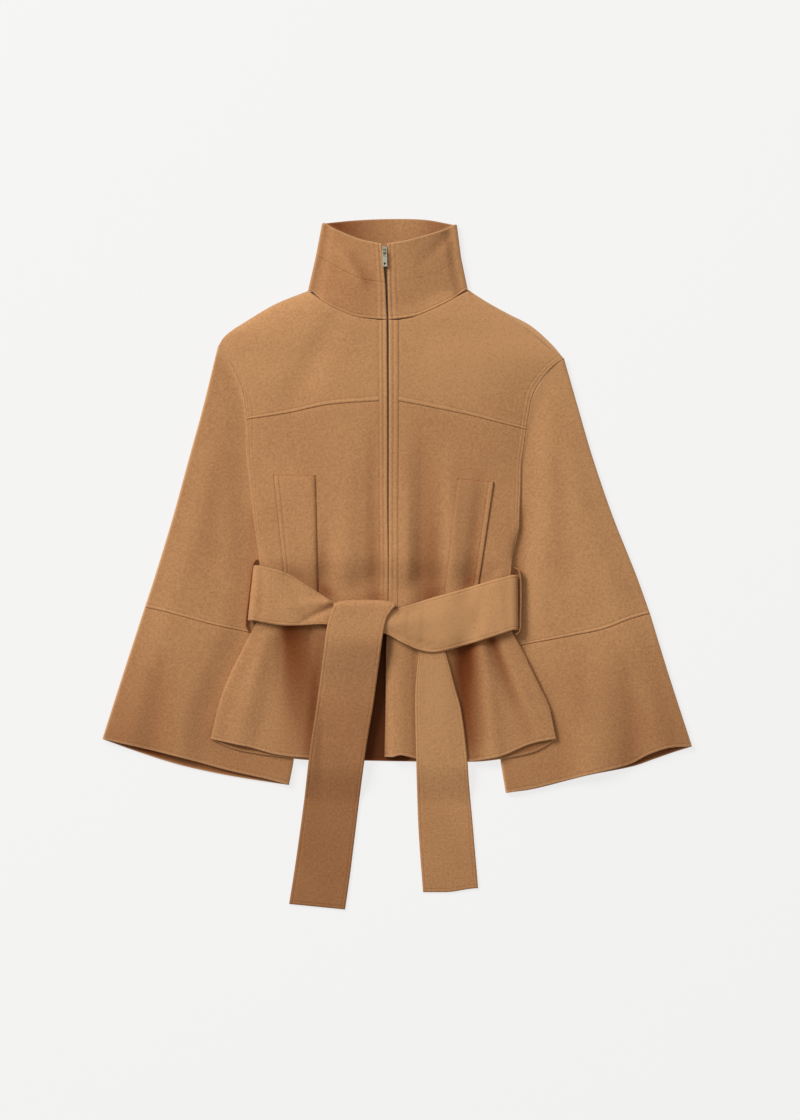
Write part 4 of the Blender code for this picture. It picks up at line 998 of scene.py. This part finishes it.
def share_lift(rows, share):
    for low, high in zip(rows, rows[1:]):
        if share <= high.share:
            return mix(low.lift, high.lift, smooth((share - low.share) / (high.share - low.share)))
    return rows[-1].lift


def band(node, top, bottom, lifts, side, tone):
    """A band over the front, turned round the body's side on to the belt's back stretch.

    side is -1 at the left and 1 at the right, and tone the painted light of the band's colour.
    """
    columns = [Spot("turn", 180 * (1 - i / TURN_STEPS)) for i in range(TURN_STEPS)]
    columns += [Spot("front", i / 80) for i in range(81)]

    def point(column, row, inside):
        share = column.along if column.kind == "front" else 0.0
        x, y = mix(top(share), bottom(share), row.share)
        folds = sum(fold_rise(fold, x, y) for fold in BAND_FOLDS[node])
        upper = front_top(x, y) + share_lift(lifts, share) + BELT_CLOTH + folds * smooth(share / 0.1)
        depth = BELT_CLOTH if inside else -row.rise
        if column.kind == "front":
            return Vector((x, y, upper - depth))
        lower = SLEEVE_HEIGHT + SEAM_GAP
        radius = (upper - lower) / 2
        lean = math.radians(90 - column.along)
        return Vector((x + side * (radius - depth) * math.cos(lean), y,
                       lower + radius + (radius - depth) * math.sin(lean)))

    folds_and_painted_shade = BAND_FOLDS[node] + BAND_PAINTED_SHADE[node]
    sew(node, columns, BELT_ACROSS, point,
        depth=lambda x, y: sum(fold_rise(fold, x, y) for fold in folds_and_painted_shade) + tone)


def belt_back_point(column, row, inside):
    corners = [Vector(p) for p in ((-173.1, -1), (144.9, -12.6), (145.6, -83.4), (-180.6, -71.5))]
    u = column.share
    x, y = mix(mix(corners[0], corners[1], u), mix(corners[3], corners[2], u), row.share)
    low = 1.03 * sleeve_lift(x, y)
    return Vector((x, y, low if inside else low + BELT_CLOTH + row.rise))


sew("belt_back", stations(322, 5.0, STRAIGHT, STRAIGHT), BELT_ACROSS,
    belt_back_point)
# The last number is each band's painted light
band("belt_band_left", band_left_top, band_left_bottom, BAND_LEFT, -1, 8)
band("belt_band_right", band_right_top, band_right_bottom, BAND_RIGHT, 1, 21)

# The two ends of the belt. Each row is a level down the end: its left and right edges, and how
# high its underside lies above the front, or above the floor below the hem
End = namedtuple("End", "y left right lift")
END_LEFT = [
    End(-52.5, -80, -2, 14.6), End(-64, -84.5, -11, 14.8), End(-80, -88.5, -16, 14.8),
    End(-98, -91, -19, 14.2), End(-121, -94, -22, 9.0), End(-150, -98, -26, 2.6),
    End(-179, -102, -30, 1.4), End(-233, -110, -39, 1.4), End(-300, -118, -48, 0.0),
    End(-380, -129, -58, 0.0), End(-431, -137, -66, 0.0),
]
END_RIGHT = [
    End(-74, 18, 52, 0.9), End(-95, 24, 58, 1.1), End(-109, 27, 61, 1.3), End(-126, 26, 66, 1.3),
    End(-153, 23.5, 73, 1.4), End(-182, 23, 81, 1.4), End(-233, 24, 88, 1.4), End(-273, 25, 91, 0.6),
    End(-340, 27.5, 97, 0.0), End(-416, 33, 103, 0.0),
]
HEM_Y = -252
FLOOR_Y = -304
TUCKED_LENGTH = 26.0
TUCKED_LIFT = 1.7


def under_end(x, y, lift):
    """Underside of a belt end: over the front, then down past the hem to the floor."""
    if y >= HEM_Y:
        return front_top(x, y) + lift
    return (front_top(x, HEM_Y) + lift) * smooth((y - FLOOR_Y) / (HEM_Y - FLOOR_Y)) ** 0.8


def end_levels(first, last):
    """Places down a belt end, with the turned edge and its stitches at the bottom."""
    length = first - last
    return [Spot("front", mix(first, last, place.share), place.rise, place.pale)
            for place in stations(length, 3.6, STRAIGHT, BELT_EDGE)]


def left_end_point(column, row, inside):
    depth = BELT_CLOTH if inside else 0.0
    rise = 0.0 if inside else max(column.rise + row.rise, -1.6)
    first = END_LEFT[0]
    if row.kind == "front":
        y = row.along
        x = mix(reading(END_LEFT, "left", y), reading(END_LEFT, "right", y), column.share)
        slant = -7 * column.share * smooth((-360 - y) / 70)
        under = under_end(x, y, reading(END_LEFT, "lift", y))
        return Vector((x, y + slant, under + BELT_CLOTH - depth + rise))
    x = mix(first.left, first.right, column.share)
    if row.kind == "tucked":
        return Vector((x, row.along, front_top(x, row.along) + TUCKED_LIFT + depth))
    radius = (first.lift + BELT_CLOTH - TUCKED_LIFT) / 2
    lean = math.radians(row.along)
    bulge = 1 - 0.55 * abs(2 * column.share - 1) ** 4
    return Vector((x, first.y + (radius - depth + rise) * math.cos(lean) * bulge,
                   front_top(x, first.y) + TUCKED_LIFT + radius + (radius - depth + rise) * math.sin(lean)))


def right_end_point(column, row, inside):
    y = row.along
    x = mix(reading(END_RIGHT, "left", y), reading(END_RIGHT, "right", y), column.share)
    slant = 5 * smooth((column.share - 0.4) / 0.6) * smooth((-350 - y) / 60)
    under = under_end(x, y, reading(END_RIGHT, "lift", y))
    if inside:
        return Vector((x, y + slant, under))
    return Vector((x, y + slant, under + BELT_CLOTH + max(column.rise + row.rise, -1.6)))


def left_end_painted_tone(x, y):
    """Painted light over the knot, and painted shade growing down the end."""
    return 5 - 9 * smooth((BELT_LEVEL - y) / 150) - 1.2 * smooth((-240 - y) / 80)


def right_end_painted_tone(x, y):
    """Painted shade just below the band, then painted light, fading towards the floor."""
    return 20 - 26 * smooth((y + 124) / 18) - 19 * smooth((-180 - y) / 180)


tucked_rows = [Spot("tucked", END_LEFT[0].y - TUCKED_LENGTH * (1 - i / 6)) for i in range(6)]
turned_rows = [Spot("turn", -90 + 180 * i / 12) for i in range(13)]
sew("belt_end_left", BELT_ACROSS, tucked_rows + turned_rows + end_levels(-56, END_LEFT[-1].y),
    left_end_point, depth=left_end_painted_tone)
sew("belt_end_right", BELT_ACROSS, end_levels(END_RIGHT[0].y, END_RIGHT[-1].y), right_end_point,
    depth=right_end_painted_tone)


# Belt loops
# A narrow folded strip of the same wool is sewn into each side seam and holds the belt. It stands
# on edge round the belt, so that only its thickness shows from above.

loop_right = curve([(149.3, -3), (154, -6), (156.7, -14), (157.5, -40), (157, -72), (156.8, -80),
                    (154, -87), (150, -89)])
loop_left = curve([(-188.5, -85), (-192, -78), (-190.5, -58), (-187.5, -35), (-184.5, -10),
                   (-181.5, 3), (-177.5, 7)])


def loop(node, line, low, width, shade):
    def point(column, row, inside):
        t = column.share
        x, y = line(t)
        tangent = (line(min(t + 0.01, 1)) - line(max(t - 0.01, 0))).normalized()
        depth = CLOTH if inside else 0.0
        height = low + width * row.share
        return Vector((x + tangent.y * depth, y - tangent.x * depth, height))

    across = [Station(share) for share in (0.0, 0.12, 0.5, 0.88, 1.0)]
    along = [Station(i / 40) for i in range(41)]
    sew(node, along, across, point,
        depth=lambda x, y: shade, inner=shade)


# The last number is the painted shade of each loop, inside and out
loop("belt_loop_right", loop_right, 9.0, 8.0, -1.5)
loop("belt_loop_left", loop_left, 7.0, 4.0, -4.0)


# Zip
# A number 5 zip behind the plackets: dark woven tapes, a row of small teeth on each, and a pale
# metal slider at the top of the collar, with a pull tab that hangs from its bail.

TAPE_DARK = (0.100, 0.070, 0.045, 1)
TAPE_LIGHT = (0.210, 0.155, 0.105, 1)
METAL = (0.50, 0.50, 0.40, 1)
TEETH_METAL = (0.40, 0.37, 0.31, 1)
ZIP_LENGTH = 464
TOOTH_PITCH = 2.0
TOOTH = (1.15, 0.805, 1.8)
zip_line = curve([(-15.4, 402), (-15.1, 386), (-13.6, 372), (-12.3, 349), (-11.6, 309), (-11.2, 207),
                  (-11.2, 82), (-11.3, -62)])


def front_face(x, y):
    """Upper side of the fronts along the zip, up through the collar."""
    first, seam, last = (course.front_left(1).y for course in COLLAR)
    if y <= first:
        return front_top(x, y)
    if y <= seam:
        share = COLLAR_SEAM * (y - first) / (seam - first)
    else:
        share = mix(COLLAR_SEAM, 1, min((y - seam) / (last - seam), 1))
    return mix(front_top(x, y), collar_height(x, share), smooth(share / 0.3))


def tape_top(x, y):
    return front_face(x, y) - CLOTH - 3 * SEAM_GAP


def tape_finish():
    tape = Finish("zip_tape_weave", Roughness=0.85)
    place = tape.node("ShaderNodeTexCoord", output="Object")
    rib = tape.node("ShaderNodeTexWave", {"bands_direction": "Y"}, {
        "Vector": place, "Scale": 420.0, "Distortion": 1.0})
    tape.feed(tape.shader.inputs["Base Color"], tape.blend(rib, TAPE_DARK, TAPE_LIGHT))
    tape.bump(rib, 0.4, 0.0003)
    return tape.material


def metal_finish(name, colour, roughness):
    metal = Finish(name, Metallic=1.0)
    grain = metal.noise(900, 2.0, 0.5)
    metal.feed(metal.shader.inputs["Base Color"], metal.blend(grain, colour, [0.82 * c for c in colour]))
    metal.feed(metal.shader.inputs["Roughness"], grain * 0.12 + roughness)
    return metal.material


def place_metal(name, bm, finish, node, body):
    bmesh.ops.scale(bm, vec=(MM, MM, MM), verts=bm.verts)
    mesh = bpy.data.meshes.new(name)
    bm.to_mesh(mesh)
    bm.free()
    mesh.shade_smooth()
    mesh.set_sharp_from_angle(angle=math.radians(40))
    mesh.materials.append(finish)
    piece = bpy.data.objects.new(name, mesh)
    bpy.context.scene.collection.objects.link(piece)
    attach(piece, body)
    if node:
        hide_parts(node)


for node in ("zip_tape_left", "zip_tape_right"):
    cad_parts[node].data.materials.clear()
    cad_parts[node].data.materials.append(tape_finish())

teeth = bmesh.new()
for i in range(round(ZIP_LENGTH / TOOTH_PITCH)):
    for side in (-1, 1):
        t = min((i + 0.5 + 0.25 * side) * TOOTH_PITCH / ZIP_LENGTH, 1.0)
        x, y = zip_line(t)
        centre = Vector((x + side * 0.55, y, tape_top(x, y) - 1.0))
        bmesh.ops.create_cube(teeth, size=1.0, matrix=Matrix.Translation(centre) @ Matrix.Diagonal(
            (*TOOTH, 1)))
bmesh.ops.bevel(teeth, geom=teeth.edges[:], offset=0.16, segments=1, profile=0.5, affect="EDGES",
                material=-1)
place_metal("zip_teeth", teeth, metal_finish("zip_teeth_metal", TEETH_METAL, 0.35),
            "zip_chain", "jacket")

SLIDER_AT = Vector((-15.4, 395.2))
SLIDER_LENGTH = 12.2
SLIDER_WIDTH = 6.0
SLIDER_PLATE = 1.3
RAIL_WIDTH = 1.7
BAR_LENGTH = 2.6
POST = (2.4, 3.0)
BAIL_RADIUS = 3.2
BAIL_STRIP = (1.3, 0.9, 1)
TAB_WIDTH = 6.4
TAB_DEPTH = 1.2
TAB_REACH = 19.0
TAB_CORNER = 1.2
TAB_HEAD = -0.6
TAB_WAIST = 0.85
WAIST_AT = -6.6
FULL_WIDTH_AT = -8.0
EYE_CORNER = 0.5
EYE_RADIUS = 1.7
HOLE_RADIUS = 1.4
PLATE_TOP = front_face(*SLIDER_AT) + 2 * SEAM_GAP + SLIDER_PLATE
JOINT_AT = Vector((SLIDER_AT.x, SLIDER_AT.y - 0.6, PLATE_TOP + TAB_DEPTH / 2 + SEAM_GAP))


def slider_block(bm, size, centre, corner, softness):
    """A box with round upright corners and softened faces, for a plate or the post."""
    made = bmesh.ops.create_cube(bm, size=1.0, matrix=Matrix.Translation(centre) @ Matrix.Diagonal(
        (*size, 1)))
    edges = {edge for vertex in made["verts"] for edge in vertex.link_edges}
    upright = [e for e in edges if abs(e.verts[0].co.z - e.verts[1].co.z) > 0.5 * size[2]]
    done = bmesh.ops.bevel(bm, geom=upright, offset=corner, segments=5, profile=0.5, affect="EDGES",
                           material=-1)
    vertices = set(made["verts"]) | set(done["verts"])
    rim = {edge for vertex in vertices if vertex.is_valid for edge in vertex.link_edges}
    rim = [e for e in rim if e.is_valid and abs(e.verts[0].co.z - e.verts[1].co.z) < 1e-4
           and e.calc_face_angle(0) > 1.0]
    bmesh.ops.bevel(bm, geom=rim, offset=softness, segments=2, profile=0.5, affect="EDGES", material=-1)


slider = bmesh.new()
low_face = tape_top(*SLIDER_AT) - 0.8 - SEAM_GAP
for side in (-1, 1):
    slider_block(slider, (RAIL_WIDTH, SLIDER_LENGTH, SLIDER_PLATE),
                 (SLIDER_AT.x + side * (SLIDER_WIDTH - RAIL_WIDTH) / 2, SLIDER_AT.y,
                  PLATE_TOP - SLIDER_PLATE / 2), 0.7, 0.3)
    slider_block(slider, (SLIDER_WIDTH - 1, BAR_LENGTH, SLIDER_PLATE - 0.1),
                 (SLIDER_AT.x, SLIDER_AT.y + side * (SLIDER_LENGTH / 2 - 1.5),
                  PLATE_TOP - SLIDER_PLATE / 2), 0.7, 0.25)
slider_block(slider, (SLIDER_WIDTH, SLIDER_LENGTH - 1, SLIDER_PLATE),
             (SLIDER_AT.x, SLIDER_AT.y, low_face - SLIDER_PLATE / 2), 1.8, 0.35)
slider_block(slider, (*POST, PLATE_TOP - low_face),
             (SLIDER_AT.x, SLIDER_AT.y + 4.0, (PLATE_TOP + low_face) / 2 - 0.6), 0.8, 0.1)
bail = bmesh.ops.create_grid(slider, x_segments=1, y_segments=1, size=0.5)["verts"]
bmesh.ops.scale(slider, vec=BAIL_STRIP, verts=bail)
bmesh.ops.translate(slider, vec=(0, BAIL_RADIUS, 0), verts=bail)
lead = math.radians(20)
bmesh.ops.rotate(slider, cent=(0, 0, 0), matrix=Matrix.Rotation(-lead, 3, "X"), verts=bail)
strip = list(bail) + list({edge for vertex in bail for edge in vertex.link_edges})
strip += list({face for vertex in bail for face in vertex.link_faces})
before = set(slider.verts) - set(bail)
bmesh.ops.spin(slider, geom=strip, cent=(0, 0, 0), axis=(1, 0, 0), angle=math.pi + 2 * lead, steps=24)
bmesh.ops.translate(slider, vec=JOINT_AT, verts=[v for v in slider.verts if v not in before])
bmesh.ops.recalc_face_normals(slider, faces=slider.faces)
place_metal("zip_slider_body", slider, metal_finish("zip_slider_metal", METAL, 0.28), "zip_slider",
            "jacket")


def arc(centre, radius, start, end, steps):
    return [(centre[0] + radius * math.cos(math.radians(mix(start, end, i / steps))),
             centre[1] + radius * math.sin(math.radians(mix(start, end, i / steps))))
            for i in range(steps + 1)]


half = TAB_WIDTH / 2
soft = 0.22
near = half - TAB_CORNER
corner = TAB_CORNER - soft
foot = TAB_CORNER - TAB_REACH
tab_curve = bpy.data.curves.new("zip_pull_tab_curve", "CURVE")
tab_curve.dimensions = "2D"
tab_curve.fill_mode = "BOTH"
tab_curve.extrude = TAB_DEPTH / 2 - soft
tab_curve.bevel_depth = soft
tab_curve.bevel_resolution = 2
tab_outline = (arc((near, TAB_HEAD), corner, 0, 90, 6) + arc((-near, TAB_HEAD), corner, 90, 180, 6)
               + [(soft - TAB_WAIST * half, WAIST_AT), (soft - half, FULL_WIDTH_AT)]
               + arc((-near, foot), corner, 180, 270, 6) + arc((near, foot), corner, 270, 360, 6)
               + [(half - soft, FULL_WIDTH_AT), (TAB_WAIST * half - soft, WAIST_AT)])
tab_eye = (arc((1.2, -1.1), EYE_CORNER + soft, 90, 0, 4) + arc((0, -4.3), EYE_RADIUS + soft, 0, -180, 14)
           + arc((-1.2, -1.1), EYE_CORNER + soft, 180, 90, 4))
tab_hole = arc((0, 3.6 - TAB_REACH), HOLE_RADIUS + soft, 0, 345, 23)
for points in (tab_outline, tab_eye, tab_hole):
    spline = tab_curve.splines.new("POLY")
    spline.points.add(len(points) - 1)
    for knot, (x, y) in zip(spline.points, points):
        knot.co = (x, y, 0, 1)
    spline.use_cyclic_u = True
tab_shape = bpy.data.objects.new("zip_pull_tab_shape", tab_curve)
bpy.context.scene.collection.objects.link(tab_shape)
tab_mesh = bpy.data.meshes.new_from_object(
    tab_shape.evaluated_get(bpy.context.evaluated_depsgraph_get()))
bpy.data.objects.remove(tab_shape, do_unlink=True)
tab = bmesh.new()
tab.from_mesh(tab_mesh)
bpy.data.meshes.remove(tab_mesh)
bmesh.ops.remove_doubles(tab, verts=tab.verts, dist=1e-3)
bmesh.ops.recalc_face_normals(tab, faces=tab.faces)
bmesh.ops.translate(tab, vec=JOINT_AT, verts=tab.verts)
place_metal("zip_pull", tab, metal_finish("zip_pull_metal", METAL, 0.26), "zip_pull_tab",
            "pull_tab")


# Studio
# A plain pale floor with a faint glow, a large soft light from the upper left and an even warm
# sky. The camera looks straight down, as the photo does.

FLOOR_TONE = (0.16, 0.16, 0.16, 1)
FLOOR_GLOW = 0.76
FLOOR_HALF = 6.0
FLOOR_DROP = 0.0005
SKY_COLOUR = (1, 0.89, 0.78, 1)
SKY_STRENGTH = 0.27
PHOTO_SCALE = 1.27
PHOTO_SIZE = (800, 1120)
PHOTO_CENTRE = (397, 564.5)
CAMERA_HEIGHT = 4.0
SENSOR = 36.0

floor_finish = Finish("studio_floor", Roughness=0.9, Emission_Color=(1, 1, 1, 1),
                      Emission_Strength=FLOOR_GLOW, Specular_IOR_Level=0.0)
floor_finish.feed(floor_finish.shader.inputs["Base Color"], FLOOR_TONE)
floor_bm = bmesh.new()
bmesh.ops.create_grid(floor_bm, x_segments=1, y_segments=1, size=FLOOR_HALF)
bmesh.ops.translate(floor_bm, vec=(0, 0, -FLOOR_DROP), verts=floor_bm.verts)
floor_mesh = bpy.data.meshes.new("studio_floor")
floor_bm.to_mesh(floor_mesh)
floor_bm.free()
floor_mesh.materials.append(floor_finish.material)
floor = bpy.data.objects.new("studio_floor", floor_mesh)
bpy.context.scene.collection.objects.link(floor)


def lamp(name, place, size, power):
    """A square soft light that faces the middle of the jacket."""
    light = bpy.data.lights.new(name, "AREA")
    light.size = size
    light.energy = power
    holder = bpy.data.objects.new(name, light)
    holder.location = place
    holder.rotation_euler = (-Vector(place)).to_track_quat("-Z", "Y").to_euler()
    bpy.context.scene.collection.objects.link(holder)


lamp("key_light", (-4.8, 4.6, 4.6), 3.2, 590)
lamp("top_light", (0.2, 0.4, 3.0), 2.6, 14)

world = bpy.data.worlds.new("studio")
world.use_nodes = True
sky = world.node_tree.nodes["Background"]
sky.inputs["Color"].default_value = SKY_COLOUR
sky.inputs["Strength"].default_value = SKY_STRENGTH
bpy.context.scene.world = world
bpy.context.scene.view_settings.view_transform = "Standard"

camera_data = bpy.data.cameras.new("camera")
camera_data.sensor_fit = "VERTICAL"
camera_data.sensor_height = SENSOR
camera_data.lens = SENSOR * CAMERA_HEIGHT / (PHOTO_SIZE[1] * PHOTO_SCALE * MM)
camera = bpy.data.objects.new("camera", camera_data)
camera.location = ((PHOTO_SIZE[0] / 2 - PHOTO_CENTRE[0]) * PHOTO_SCALE * MM,
                   (PHOTO_CENTRE[1] - PHOTO_SIZE[1] / 2) * PHOTO_SCALE * MM,
                   CAMERA_HEIGHT)
bpy.context.scene.collection.objects.link(camera)
bpy.context.scene.camera = camera
